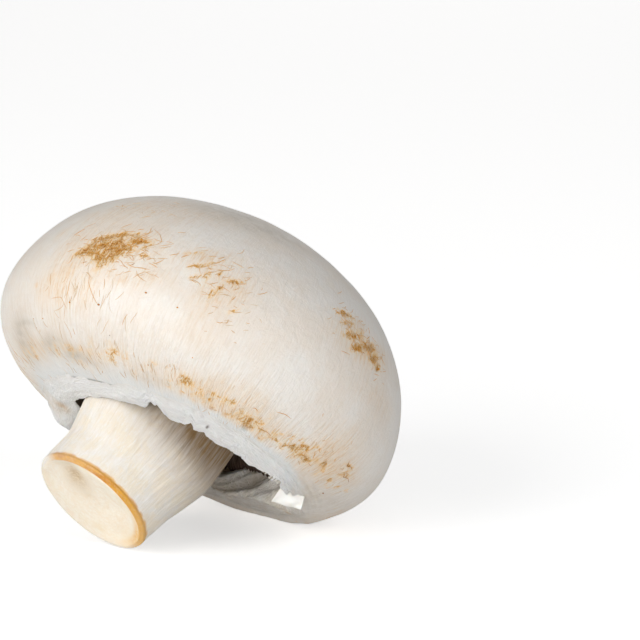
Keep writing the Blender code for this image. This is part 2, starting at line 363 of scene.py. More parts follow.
# Line of the stem and its radius by share of its length
STEM_TOP = (-0.8, 0.4, 4.3)
STEM_BEND = (-0.8, 0.4, -9.0)
STEM_CUT_CENTRE = (-3.16, -2.53, -20.18)
STEM_CUT_NORMAL = (-0.01, -0.29, -0.95)
STEM_RADII = (
    (0.0, 10.4),
    (0.08, 9.6),
    (0.35, 9.2),
    (0.6, 9.2),
    (0.8, 7.85),
    (1.0, 7.75),
    (1.3, 7.75),
)
STEM_RUN_ON = 1.35
STEM_COLUMNS = 420
STEM_ROWS = 130
STEM_GRAIN_RADIUS = 8.5
STEM_GRAIN_LENGTH = 24.0
CUT_ROWS = 62
CUT_CORNER_ROWS = 5
CUT_ROUNDING = 0.32
CUT_HEART_RADIUS = 0.45
CUT_GRAIN_STEP = 0.12

# Gill blades: corners as radius and height, then sizes
GILL_INNER = (10.3, 2.4)
GILL_LOW_INNER = (11.4, -0.6)
GILL_LOW_OUTER = (19.4, -4.6)
GILL_BOW = 0.9
GILL_ROOTING = 0.25
GILL_EDGE_HALF_WIDTH = 0.05
GILL_HALF_WIDTH = 0.11
GILL_RINGS = 14
GILL_SEED = 11

# Corners of the torn flap at the right end of the mouth, from its top left
FLAP_CORNERS = (
    (14.95, 6.5, -9.3),
    (17.7, 7.97, -9.05),
    (16.9, 9.4, -10.25),
    (13.6, 7.6, -10.8),
)
FLAP_COLUMNS = 40
FLAP_ROWS = 16
FLAP_THICKNESS = 0.32

# Torn ribs beside the flap: top of the first, step to the next, and each one's run
RIB_START = (12.84, 4.9, -7.22)
RIB_STEP = (0.234, 0.261, -0.085)
RIB_RUN = (-0.567, -0.084, -1.093)
RIB_COUNT = 11
RIB_DEPTH = 0.5
RIB_HALF_WIDTH = 0.34
RIB_SEED = 5

# Tones that the pickable colours are mixed with
PALE_SKIN = (0.86, 0.82, 0.77)
SKIN_STREAK = (0.70, 0.60, 0.48)
SKIN_SHINE = (0.90, 0.875, 0.85)
HAZE_GLOW = (0.84, 0.60, 0.36)
BRUISE_FLUSH = (0.90, 0.60, 0.25)
SPECK_BROWN = (0.33, 0.22, 0.14)
BARE_MARGIN = (0.80, 0.82, 0.82)
LINING_BROWN = (0.47, 0.37, 0.27)
FIBRE_PALE = (0.76, 0.60, 0.42)
VEIL_LIGHT = (0.98, 0.98, 0.97)
VEIL_COOL = (0.89, 0.91, 0.92)
VEIL_STREAK = (0.79, 0.77, 0.73)
SEAM_DARK = (0.72, 0.65, 0.57)
SEAM_LIGHT = (0.80, 0.75, 0.68)
# Inner face: a painted highlight on its folds, its streaks, and painted shade in its creases
INNER_FOLD_HIGHLIGHT = (1.0, 0.97, 0.91)
INNER_STREAK = (0.46, 0.38, 0.28)
CREASE_SHADE = (0.30, 0.23, 0.16)
VEIL_TAN = (0.66, 0.46, 0.26)
FLECK_BROWN = (0.10, 0.06, 0.04)
FLESH_WARM = (0.87, 0.79, 0.66)
FLESH_STREAK = (0.74, 0.65, 0.52)
FLESH_SHINE = (0.92, 0.91, 0.90)
STEM_STAIN_AND_SHADOW = (0.34, 0.20, 0.08)
CUT_LIGHT = (0.95, 0.89, 0.78)
CUT_WARM = (0.87, 0.73, 0.54)
DENT_STAIN_AND_CREASE_SHADE = (0.56, 0.40, 0.22)
RUST_LIGHT = (0.74, 0.36, 0.03)
AMBER = (0.80, 0.47, 0.11)
GILL_POWDER = (0.12, 0.075, 0.05)
GILL_LIGHT = (0.16, 0.105, 0.07)
GILL_BAND = (0.07, 0.04, 0.03)
FLAP_CREAM = (0.96, 0.93, 0.86)
FLAP_LIGHT = (0.98, 0.97, 0.93)
FLAP_WARM = (0.92, 0.84, 0.72)
RIB_BROWN = (0.40, 0.31, 0.20)

# Soft lights: name, watts, way to it as the camera's right, up and back, colour
SOFT_LIGHTS = (
    ("key", 2.68, (-0.6, 0.3, 0.75), (1.0, 0.99, 0.97)),
    ("fill", 1.95, (0.7, 0.3, 0.65), (0.97, 0.98, 1.0)),
    ("low", 2.25, (-0.3, -0.12, 1.0), (1.0, 1.0, 1.0)),
    ("side", 1.35, (-1.0, 0.15, 0.15), (1.0, 0.97, 0.93)),
    ("top", 0.36, (0.0, 1.0, 0.15), (1.0, 0.97, 0.93)),
    ("rear", 0.5, (0.1, 0.56, -0.83), (1.0, 0.98, 0.95)),
)
LIGHT_SIZE = 0.5
LIGHT_DISTANCE = 0.8

FLOOR_REACH = 6.0
FLOOR_DROP = 0.00005

# Middle of the view from the centre of the cap's widest ring: right and up
VIEW_SHIFT = (14.92, 6.54)


# ---------------------------------------------------------------- settings


class CapSettings(bpy.types.PropertyGroup):
    """Size and skin of the cap"""

    radius: FloatProperty(
        name="Cap Radius",
        description="Radius of the cap at its widest ring",
        default=(CAP_BOX[1].x - CAP_BOX[0].x) / 2 / (1 - CAP_OVAL),
        min=0.005,
        unit="LENGTH",
    )
    dome_height: FloatProperty(
        name="Dome Height",
        description="Height of the dome above the widest ring",
        default=0.020,
        min=0.002,
        unit="LENGTH",
    )
    margin_depth: FloatProperty(
        name="Margin Depth",
        description="How far the margin rolls down below the widest ring",
        default=0.00975,
        min=0.001,
        unit="LENGTH",
    )
    rim_radius: FloatProperty(
        name="Rim Radius",
        description="Radius of the lowest ring of the rolled margin",
        default=0.0152,
        min=0.002,
        unit="LENGTH",
    )
    skin: FloatVectorProperty(
        name="Skin", description="Main colour of the skin", subtype="COLOR",
        default=(0.86, 0.82, 0.765), min=0, max=1,
    )
    skin_warm: FloatVectorProperty(
        name="Warm Skin", description="Warmer drifts in the skin", subtype="COLOR",
        default=(0.84, 0.765, 0.68), min=0, max=1,
    )
    tan: FloatVectorProperty(
        name="Tan", description="Colour of the handled, tanned skin", subtype="COLOR",
        default=(0.74, 0.45, 0.19), min=0, max=1,
    )
    bruise: FloatVectorProperty(
        name="Bruise", description="Colour of the bruises", subtype="COLOR",
        default=(0.76, 0.34, 0.035), min=0, max=1,
    )
    bruise_dark: FloatVectorProperty(
        name="Dark Bruise", description="Colour at the heart of a bruise", subtype="COLOR",
        default=(0.30, 0.10, 0.012), min=0, max=1,
    )
    # Colour of the greying, which also stands in for painted shade over the top of the dome
    grey_and_shade: FloatVectorProperty(
        name="Grey", description="Colour of the greyed skin", subtype="COLOR",
        default=(0.43, 0.36, 0.27), min=0, max=1,
    )
    fibres: IntProperty(
        name="Fibres", description="Loose fibres strewn over the bruises and the tanned band",
        default=430, min=0,
    )


class VeilSettings(bpy.types.PropertyGroup):
    """Size and colour of the torn veil"""

    thickness: FloatProperty(
        name="Thickness",
        description="Thickness of the veil along its torn edge",
        default=0.00034,
        min=0.00005,
        unit="LENGTH",
    )
    fringe: FloatProperty(
        name="Fringe",
        description="Depth of the fine teeth along the torn edge",
        default=0.00042,
        min=0,
        unit="LENGTH",
    )
    colour: FloatVectorProperty(
        name="Veil", description="Colour of the fresh veil", subtype="COLOR",
        default=(0.95, 0.955, 0.945), min=0, max=1,
    )
    inner_colour: FloatVectorProperty(
        name="Inner Face", description="Colour of the veil's inner face", subtype="COLOR",
        default=(0.92, 0.86, 0.76), min=0, max=1,
    )


class StemSettings(bpy.types.PropertyGroup):
    """Size and colour of the stem"""

    fullness: FloatProperty(
        name="Fullness",
        description="Scale of the stem's radius",
        default=1.0,
        min=0.3,
        max=1.05,
        subtype="FACTOR",
    )
    flesh: FloatVectorProperty(
        name="Flesh", description="Colour of the stem's side", subtype="COLOR",
        default=(0.87, 0.83, 0.77), min=0, max=1,
    )
    cut: FloatVectorProperty(
        name="Cut Face", description="Colour of the cut face", subtype="COLOR",
        default=(0.91, 0.81, 0.66), min=0, max=1,
    )
    rust: FloatVectorProperty(
        name="Cut Edge", description="Colour of the dried edge of the cut", subtype="COLOR",
        default=(0.62, 0.25, 0.008), min=0, max=1,
    )


class GillSettings(bpy.types.PropertyGroup):
    """Number and colour of the gills"""

    count: IntProperty(
        name="Full Gills", description="Gills that reach the stem", default=110, min=12
    )
    colour: FloatVectorProperty(
        name="Gills", description="Colour of the gills", subtype="COLOR",
        default=(0.06, 0.035, 0.022), min=0, max=1,
    )


class StageSettings(bpy.types.PropertyGroup):
    """Floor, lights and camera"""

    azimuth: FloatProperty(
        name="Azimuth", description="Way the camera looks from, around the mushroom",
        default=math.radians(42.85), subtype="ANGLE",
    )
    elevation: FloatProperty(
        name="Elevation", description="Height angle of the camera",
        default=math.radians(12.92), subtype="ANGLE",
    )
    distance: FloatProperty(
        name="Distance", description="Camera distance from the cap's widest ring",
        default=0.45, min=0.1, unit="LENGTH",
    )
    lens: FloatProperty(
        name="Lens", description="Focal length in millimetres", default=208.0, min=10
    )
    floor: FloatVectorProperty(
        name="Floor", description="Colour of the floor", subtype="COLOR",
        default=(0.9, 0.9, 0.9), min=0, max=1,
    )
    glow: FloatProperty(
        name="Floor Glow", description="Extra brightness of the floor as the camera sees it",
        default=0.52, min=0,
    )
    lights: FloatProperty(
        name="Lights", description="Scale of all the soft lights' power",
        default=1.0, min=0,
    )
    ambient: FloatProperty(
        name="Ambient", description="Strength of the light from all round",
        default=0.18, min=0,
    )


# ---------------------------------------------------------------- number work


def eased(low, high, value):
    """0 below low, 1 above high, and a smooth rise between; low may be the larger."""
    share = np.clip((value - low) / (high - low), 0.0, 1.0)
    return share * share * (3.0 - 2.0 * share)


def bell(offset, width):
    """1 at offset 0, falling smoothly over the width."""
    return np.exp(-((offset / width) ** 2))


def wrapped(degrees):
    """The same angle between -180 and 180."""
    return (degrees + 180.0) % 360.0 - 180.0


def by_turn(table, degrees, column=1):
    """Values of a table along the turn, with straight runs between its rows."""
    knots = np.array([row[0] for row in table], float)
    values = np.array([row[column] for row in table], float)
    return np.interp(wrapped(degrees), knots, values)


def ripple(around, along, cells_around, cells_along, seed):
    """Smooth random swells from -1 to 1 that close up around the turn."""
    lattice = np.random.default_rng(seed).uniform(-1, 1, (cells_around, cells_along + 2))
    column = (np.asarray(around) % 1.0) * cells_around
    row = np.clip(along, 0.0, 0.9999) * cells_along
    i, j = np.floor(column).astype(int), np.floor(row).astype(int)
    u, v = column - i, row - j
    u, v = u * u * (3 - 2 * u), v * v * (3 - 2 * v)
    i, i_next = i % cells_around, (i + 1) % cells_around
    near = lattice[i, j] * (1 - u) + lattice[i_next, j] * u
    far = lattice[i, j + 1] * (1 - u) + lattice[i_next, j + 1] * u
    return near * (1 - v) + far * v


def ripple_round(around, cells, seed):
    """Smooth random swells from -1 to 1 around the turn only."""
    return ripple(around, 0.5, cells, 1, seed)


def round_grain(radius, turn, run):
    """Coordinates whose third axis runs along the fibres of a round piece."""
    grain = np.broadcast_arrays(radius * np.cos(turn), radius * np.sin(turn), run)
    return np.stack(grain, -1)


def marks_at(degrees, up, radius, marks):
    """Strength of a list of soft marks at each point of the skin."""
    clear = np.ones(np.broadcast(degrees, up).shape)
    for where, height, length, width, lean, strength in marks:
        across = np.radians(wrapped(degrees - where)) * radius
        along = up - height
        cos, sin = math.cos(math.radians(lean)), math.sin(math.radians(lean))
        forward = along * cos + across * sin
        sideways = across * cos - along * sin
        clear *= 1 - strength * np.exp(-((forward / length) ** 2) - (sideways / width) ** 2)
    return 1 - clear


def bezier(a, b, c, share):
    """Points along a three-point curve."""
    share = np.asarray(share)[..., None]
    a, b, c = (np.array(p, float) for p in (a, b, c))
    return a * (1 - share) ** 2 + b * 2 * share * (1 - share) + c * share**2


# ---------------------------------------------------------------- form of the cap


def hollow_height(radius):
    """Height of the hollow's ceiling at a radius."""
    share = np.clip(1 - (radius / HOLLOW_RADIUS) ** HOLLOW_SQUARENESS, 0, 1)
    return HOLLOW_MIDDLE + HOLLOW_RISE * share ** (1 / HOLLOW_SQUARENESS)


class CapForm:
    """The smooth outside of the cap, followed by turn and by arc up from its widest ring."""

    def __init__(self, settings):
        self.radius = settings.radius / MM
        self.height = settings.dome_height / MM
        self.depth = settings.margin_depth / MM
        self.rim = settings.rim_radius / MM
        swing = np.linspace(0.0, math.pi / 2, 2000)
        dome_z = self.height * np.sin(swing)
        share = np.clip(1 - (dome_z / self.height) ** DOME_FULLNESS, 0, 1)
        dome_r = self.radius * share ** (1 / DOME_ROUNDNESS)
        margin_z = -self.depth * np.sin(swing[::-1])
        margin_r = self.rim + (self.radius - self.rim) * np.cos(swing[::-1])
        self.z = np.concatenate([margin_z, dome_z[1:]])
        self.r = np.concatenate([margin_r, dome_r[1:]])
        step = np.hypot(np.diff(self.z), np.diff(self.r))
        self.up = np.concatenate([[0.0], np.cumsum(step)])
        self.up -= self.up[len(swing) - 1]
        self.top = self.up[-1]
        self.lowest = self.up[0]
        edge = self.depth * math.sin(math.radians(EDGE_DEG))
        self.edge = float(np.interp(-edge, self.z, self.up))

    def radius_at(self, up):
        """Radius at an arc height; past the lowest ring the surface runs on inward."""
        return np.interp(up, self.up, self.r) - np.clip(self.lowest - up, 0, None)

    def height_at(self, up):
        """Height at an arc height."""
        return np.interp(up, self.up, self.z)

    def placed(self, turn, radius, height):
        """Upright coordinates of a radius and a height, with the cap's lean and oval."""
        rise = np.clip(height / self.height, 0, None) ** APEX_SHIFT_POWER
        fall = np.clip(-height / self.depth, 0, 1) ** RIM_SHIFT_POWER
        radius = radius * (1 - CAP_OVAL * np.cos(2 * turn))
        x = radius * np.cos(turn) + APEX_SHIFT[0] * rise + RIM_SHIFT[0] * fall
        y = radius * np.sin(turn) + APEX_SHIFT[1] * rise + RIM_SHIFT[1] * fall
        return np.stack(np.broadcast_arrays(x, y, height), -1)

    def point(self, turn, up, lift=0.0):
        """A point of the skin, lifted off it by some millimetres."""
        turn, up = np.broadcast_arrays(turn, up)
        span = 0.02
        dr = self.radius_at(up + span) - self.radius_at(up - span)
        dz = self.height_at(up + span) - self.height_at(up - span)
        run = np.maximum(np.hypot(dr, dz), 1e-9)
        height = self.height_at(up)
        flat = self.placed(turn, self.radius_at(up), height)
        out = dz / run * lift
        flat[..., 0] += out * np.cos(turn)
        flat[..., 1] += out * np.sin(turn)
        flat[..., 2] -= dr / run * lift
        return flat

    def lining(self, count):
        """Radius and height up the inside of the margin and along the hollow's ceiling."""
        start = (float(self.radius_at(self.edge)), float(self.height_at(self.edge)))
        turned = bezier(start, LINING[0], LINING[1], np.linspace(0, 1, 30)[1:])
        widest = (HOLLOW_RADIUS, HOLLOW_MIDDLE)
        wall = bezier(LINING[1], LINING[2], widest, np.linspace(0, 1, 40)[1:])
        swing = np.linspace(0, math.pi / 2, 80)[1:]
        radius = HOLLOW_RADIUS * np.cos(swing) ** HOLLOW_SPACING
        path = np.concatenate([turned, wall, np.stack([radius, hollow_height(radius)], -1)])
        run = np.concatenate([[0], np.cumsum(np.hypot(*np.diff(path, axis=0).T))])
        wanted = np.linspace(0, run[-1] - 0.3, count)
        return np.interp(wanted, run, path[:, 0]), np.interp(wanted, run, path[:, 1])


def cap_relief(form, turn, up):
    """How far the skin stands off the smooth form: swells, fibre ridges and creases."""
    degrees = wrapped(np.degrees(turn))
    around = turn / (2 * math.pi)
    along = (form.top - up) / (form.top - form.lowest)
    lift = 0.12 * ripple(around, along, 7, 5, 3) + 0.035 * ripple(around, along, 30, 12, 4)
    low = eased(-2.5, -11.0, up)
    lift = lift + 0.045 * low * ripple(around, along, 150, 26, 5)
    creased = bell(degrees - 12, 20) * eased(-9.0, -10.6, up)
    waves = np.sin(up * 6.0 + 3.0 * ripple(around, along, 14, 8, 6) + degrees * 0.16)
    lift = lift + 0.11 * creased * waves
    comb = bell(degrees + 30, 16) * bell(up + 6.5, 3.0)
    lift = lift + 0.02 * comb * np.sin(turn * 420)
    pulled_in = 1.3 * eased(34, 74, degrees) * eased(134, 110, degrees) * eased(-9.5, -13.5, up)
    flattened = 0.6 * bell(wrapped(degrees + 116), 24) * bell(up - 3.0, 8.0)
    return lift - pulled_in - flattened


def tipped(form):
    """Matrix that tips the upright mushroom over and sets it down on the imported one."""
    lean = Matrix.Rotation(-math.radians(90 - STEM_DIP_DEG), 4, "X")
    turn = np.linspace(0, 2 * math.pi, 720, endpoint=False)[:, None]
    skin = form.point(turn, np.linspace(form.lowest, form.top, 400)[None, :])
    reach = (skin.reshape(-1, 3) @ np.array(lean.to_3x3()).T).max(axis=0) * MM
    low, high = CAP_BOX
    place = Vector(((low.x + high.x) / 2, high.y - reach[1], high.z - reach[2]))
    return Matrix.Translation(place) @ lean


def rested(points, tip):
    """Upright points in millimetres, tipped over in metres, with none of them below the floor."""
    placed = points @ np.array(tip.to_3x3()).T * MM + np.array(tip.translation)
    placed[..., 2] = np.clip(placed[..., 2], 0, None)
    return placed


# ---------------------------------------------------------------- meshes


def new_piece(name, points, faces, tip, values):
    """A mesh object from points in millimetres, tipped over, with its painted values."""
    mesh = bpy.data.meshes.new(name)
    points = rested(np.asarray(points).reshape(-1, 3), tip).astype(np.float32)
    mesh.vertices.add(len(points))
    mesh.vertices.foreach_set("co", points.ravel())
    sizes = np.array([len(face) for face in faces], np.int32)
    starts = np.concatenate([[0], np.cumsum(sizes)[:-1]]).astype(np.int32)
    corners = np.concatenate([np.asarray(face, np.int32) for face in faces])
    mesh.loops.add(len(corners))
    mesh.loops.foreach_set("vertex_index", corners)
    mesh.polygons.add(len(sizes))
    mesh.polygons.foreach_set("loop_start", starts)
    mesh.polygons.foreach_set("loop_total", sizes)
    mesh.update(calc_edges=True)
    mesh.validate()
    for key, value in values.items():
        value = np.asarray(value, np.float32)
        is_vector = value.shape[-1] == 3 and value.size == len(points) * 3
        kind, field = ("FLOAT_VECTOR", "vector") if is_vector else ("FLOAT", "value")
        layer = mesh.attributes.new(key, kind, "POINT")
        layer.data.foreach_set(field, value.ravel())
    mesh.shade_smooth()
    piece = bpy.data.objects.new(name, mesh)
    bpy.context.scene.collection.objects.link(piece)
    return piece


def ring_faces(rings, columns, first=0, closed_ends=True):
    """Faces of stacked rings, with a pole vertex after them at each end."""
    faces = []
    row = np.arange(columns)
    following = (row + 1) % columns
    for k in range(rings - 1):
        a, b = first + k * columns, first + (k + 1) * columns
        faces.extend(np.stack([a + row, a + following, b + following, b + row], -1).tolist())
    if closed_ends:
        start, end = first + rings * columns, first + rings * columns + 1
        last = first + (rings - 1) * columns
        sides = list(zip(row.tolist(), following.tolist()))
        faces.extend([start, first + after, first + k] for k, after in sides)
        faces.extend([end, last + k, last + after] for k, after in sides)
    return faces


def with_poles(grid):
    """The grid's points with the middle of its first and last ring added."""
    flat = grid.reshape(-1, grid.shape[-1])
    return np.concatenate([flat, grid[0].mean(axis=0)[None], grid[-1].mean(axis=0)[None]])


def poled(values):
    """Painted values for a grid whose poles are added by with_poles."""
    if values.ndim == 3:
        return with_poles(values)
    return np.concatenate([values.ravel(), [values[0].mean(), values[-1].mean()]])


def bundle(name, tubes, tones, tip):
    """One mesh of many closed tubes, each an array of rings, with a tone for each tube."""
    points, faces, tone = [], [], []
    count = 0
    for tube, shade in zip(tubes, tones):
        rings, sides = tube.shape[:2]
        points.append(tube.reshape(-1, 3))
        faces.extend(ring_faces(rings, sides, count, closed_ends=False))
        faces.append([count + k for k in range(sides)][::-1])
        faces.append([count + (rings - 1) * sides + k for k in range(sides)])
        tone.append(np.full(rings * sides, shade))
        count += rings * sides
    return new_piece(name, np.concatenate(points), faces, tip, {"tone": np.concatenate(tone)})


def finished(piece, material, slot, *nodes):
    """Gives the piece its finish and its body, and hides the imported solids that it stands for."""
    piece.data.materials.append(material)
    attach(piece, BODY)
    if nodes:
        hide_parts(*nodes)
    return piece


# ---------------------------------------------------------------- finishes


class Finish:
    """Lays out one material's nodes."""

    def __init__(self, name):
        self.material = bpy.data.materials.new(name)
        self.material.use_nodes = True
        self.tree = self.material.node_tree
        self.tree.nodes.clear()

    def add(self, kind, inputs=None, **settings):
        """A new node with its settings, and its inputs fed by name."""
        node = self.tree.nodes.new(kind)
        for key, value in settings.items():
            setattr(node, key, value)
        for key, value in (inputs or {}).items():
            self.feed(node.inputs[key], value)
        return node

    def feed(self, socket, value):
        """Links a socket to another one, or sets its number or colour."""
        if isinstance(value, bpy.types.NodeSocket):
            self.tree.links.new(value, socket)
        elif isinstance(value, (tuple, list)) and len(value) == 3 and socket.type == "RGBA":
            socket.default_value = (*value, 1.0)
        else:
            socket.default_value = value

    def painted(self, name, vector=False):
        """A value painted on the mesh."""
        node = self.add("ShaderNodeAttribute", attribute_name=name)
        return node.outputs["Vector" if vector else "Fac"]

    def patchy(self, name, noise, low, high, least):
        """A painted value that is thinned to a least share where the noise is low."""
        share = self.ranged(noise, low, high, least, 1.0)
        return self.sum("MULTIPLY", self.painted(name), share, clamp=True)

    def shaken(self, value, noise, amount):
        """A value pushed up and down by a noise about its middle."""
        return self.sum("MULTIPLY_ADD", self.sum("SUBTRACT", noise, 0.5), amount, value)

    def stretched(self, vector, scale):
        """Coordinates scaled differently along each axis."""
        node = self.add("ShaderNodeVectorMath", operation="MULTIPLY")
        self.feed(node.inputs[0], vector)
        node.inputs[1].default_value = scale
        return node.outputs[0]

    def noise(self, vector, scale, detail, roughness, distortion=0.0):
        """A soft noise from about 0.3 to 0.7."""
        inputs = {
            "Vector": vector,
            "Scale": scale,
            "Detail": detail,
            "Roughness": roughness,
            "Distortion": distortion,
        }
        return self.add("ShaderNodeTexNoise", inputs).outputs["Fac"]

    def sum(self, operation, first, second, third=0.0, clamp=False):
        """The result of a sum on two or three values."""
        node = self.add("ShaderNodeMath", operation=operation, use_clamp=clamp)
        for socket, value in zip(node.inputs, (first, second, third)):
            self.feed(socket, value)
        return node.outputs[0]

    def ranged(self, value, low, high, to_low=0.0, to_high=1.0):
        """A value eased from one range to another and held at its ends."""
        inputs = {
            "Value": value,
            "From Min": low,
            "From Max": high,
            "To Min": to_low,
            "To Max": to_high,
        }
        node = self.add("ShaderNodeMapRange", inputs, interpolation_type="SMOOTHSTEP")
        return node.outputs["Result"]

    def blend(self, factor, first, second):
        """A colour that goes from the first to the second by a factor."""
        node = self.add("ShaderNodeMix", data_type="RGBA", clamp_factor=True)
        for place, value in ((0, factor), (6, first), (7, second)):
            self.feed(node.inputs[place], value)
        return node.outputs[2]

    def bump(self, height, depth, strength):
        """Fine relief, with its depth in metres."""
        inputs = {"Height": height, "Distance": depth, "Strength": strength}
        return self.add("ShaderNodeBump", inputs).outputs[0]

    def shade(self, colour, roughness, normal, **constants):
        """Ends the tree in one shader; the constants go on its own sockets."""
        shader = self.add("ShaderNodeBsdfPrincipled")
        self.feed(shader.inputs["Base Color"], colour)
        self.feed(shader.inputs["Roughness"], roughness)
        self.feed(shader.inputs["Normal"], normal)
        for key, value in constants.items():
            shader.inputs[key.replace("_", " ")].default_value = value
        output = self.add("ShaderNodeOutputMaterial")
        self.tree.links.new(shader.outputs[0], output.inputs["Surface"])
        return self.material


def flesh_constants(weight, sheen=0.0):
    """Shader constants that all the mushroom's flesh shares."""
    return {
        "Subsurface_Weight": weight,
        "Subsurface_Radius": (1.0, 0.72, 0.5),
        "Subsurface_Scale": 0.0007,
        "Specular_IOR_Level": 0.4,
        "Sheen_Weight": sheen,
        "Sheen_Roughness": 0.5,
    }


def bruised(f, colour, settings, curl, curd, fine_hair):
    """The colour with its bruises laid over it, and the strength of their stain."""
    bruise = f.painted("bruise")
    depth = f.shaken(bruise, curl, 4.2)
    depth = f.shaken(depth, curd, 2.2)
    depth = f.shaken(depth, fine_hair, 2.4)
    near = f.ranged(bruise, 0.0, 0.36, 0.0, 0.85)
    flush = f.sum("MULTIPLY", f.ranged(depth, -0.3, 0.75), near)
    within = f.ranged(bruise, 0.1, 0.45, 0.0, 0.95)
    stain = f.sum("MULTIPLY", f.ranged(depth, 0.4, 1.1), within)
    deepest = f.ranged(bruise, 0.3, 0.75)
    heart = f.sum("MULTIPLY", f.ranged(depth, 0.95, 1.5), deepest)
    colour = f.blend(flush, colour, BRUISE_FLUSH)
    colour = f.blend(stain, colour, tuple(settings.bruise))
    return f.blend(heart, colour, tuple(settings.bruise_dark)), stain


def specked(f, colour, place):
    """The colour with tiny dark specks, each in the middle of one of a few cells."""
    cells = f.add("ShaderNodeTexVoronoi", {"Vector": place, "Scale": 0.42, "Randomness": 1.0})
    speck = f.ranged(cells.outputs["Distance"], 0.045, 0.02)
    cell_tone = f.add("ShaderNodeSeparateColor", {"Color": cells.outputs["Color"]}).outputs[0]
    speck = f.sum("MULTIPLY", speck, f.ranged(cell_tone, 0.72, 0.8, 0.0, 0.75))
    return f.blend(speck, colour, SPECK_BROWN)


def cap_skin_finish(settings):
    """Cream skin with drifts, fibre streaks, tanning, bruises, greying and specks; the greying high on
    the dome is partly painted shade.
    """
    f = Finish("cap skin")
    grain = f.painted("grain", vector=True)
    place = f.painted("place", vector=True)
    hair = f.noise(f.stretched(grain, (1.0, 1.0, 0.12)), 3.4, 5, 0.6, 0.3)
    fine_hair = f.noise(f.stretched(grain, (1.0, 1.0, 0.2)), 8.0, 3, 0.6, 0.5)
    drift = f.noise(place, 0.13, 4, 0.6)
    cloud = f.noise(place, 0.55, 5, 0.65, 0.4)
    curl = f.noise(place, 0.95, 6, 0.68, 1.6)
    curd = f.noise(place, 2.9, 5, 0.7, 1.2)

    colour = f.blend(f.ranged(drift, 0.38, 0.62), tuple(settings.skin), tuple(settings.skin_warm))
    pale = f.ranged(cloud, 0.5, 0.75, 0.0, 0.55)
    colour = f.blend(pale, colour, PALE_SKIN)
    hairy = f.painted("hairy")
    streaks = f.sum("MULTIPLY", f.ranged(hair, 0.42, 0.7, 0.0, 0.42), hairy)
    colour = f.blend(streaks, colour, SKIN_STREAK)
    shine = f.sum("MULTIPLY", f.ranged(fine_hair, 0.5, 0.68, 0.0, 0.6), hairy)
    colour = f.blend(shine, colour, SKIN_SHINE)

    haze = f.painted("haze")
    strands = f.sum("MULTIPLY_ADD", hair, 0.6, f.sum("MULTIPLY", fine_hair, 0.5))
    broken = f.ranged(f.sum("MULTIPLY_ADD", curl, 0.45, strands), 0.62, 0.92)
    glow = f.sum("MULTIPLY", haze, f.sum("MULTIPLY_ADD", broken, 0.5, 0.32), clamp=True)
    colour = f.blend(glow, colour, HAZE_GLOW)
    thread = f.sum("MULTIPLY", haze, f.ranged(strands, 0.56, 0.68, 0.0, 0.75), clamp=True)
    colour = f.blend(thread, colour, tuple(settings.tan))

    # Greying: greyish-brown dirt on the margin, and painted shade over the top of the dome
    colour = f.blend(f.patchy("grey_and_shade", cloud, 0.3, 0.7, 0.45), colour, tuple(settings.grey_and_shade))
    colour, stain = bruised(f, colour, settings, curl, curd, fine_hair)
    colour = specked(f, colour, place)
    colour = f.blend(f.patchy("pale", hair, 0.3, 0.6, 0.6), colour, BARE_MARGIN)
    colour = f.blend(f.painted("inside"), colour, LINING_BROWN)

    rough = f.ranged(f.sum("ADD", hair, stain), 0.3, 1.2, 0.4, 0.75)
    relief = f.sum("MULTIPLY_ADD", hair, 0.7, f.sum("MULTIPLY", fine_hair, 0.4))
    relief = f.sum("MULTIPLY", relief, hairy)
    relief = f.sum("MULTIPLY_ADD", stain, -0.5, relief)
    relief = f.sum("MULTIPLY_ADD", cloud, 0.8, relief)
    normal = f.bump(relief, 0.00022, 0.9)
    return f.shade(colour, rough, normal, **flesh_constants(0.12, 0.1))


def fibre_finish(settings):
    """Dried skin fibres, from pale tan to dark brown by each one's tone."""
    f = Finish("skin fibre")
    place = f.add("ShaderNodeTexCoord").outputs["Object"]
    mottle = f.noise(place, 1400.0, 3, 0.6)
    tone = f.shaken(f.painted("tone"), mottle, 0.5)
    pale = f.blend(f.ranged(tone, 0.0, 0.5), FIBRE_PALE, tuple(settings.tan))
    colour = f.blend(f.ranged(tone, 0.4, 1.0), pale, tuple(settings.bruise))
    colour = f.blend(f.ranged(tone, 0.85, 1.0), colour, tuple(settings.bruise_dark))
    rough = f.ranged(mottle, 0.3, 0.7, 0.55, 0.8)
    normal = f.bump(mottle, 0.00003, 0.6)
    return f.shade(colour, rough, normal, **flesh_constants(0.15))


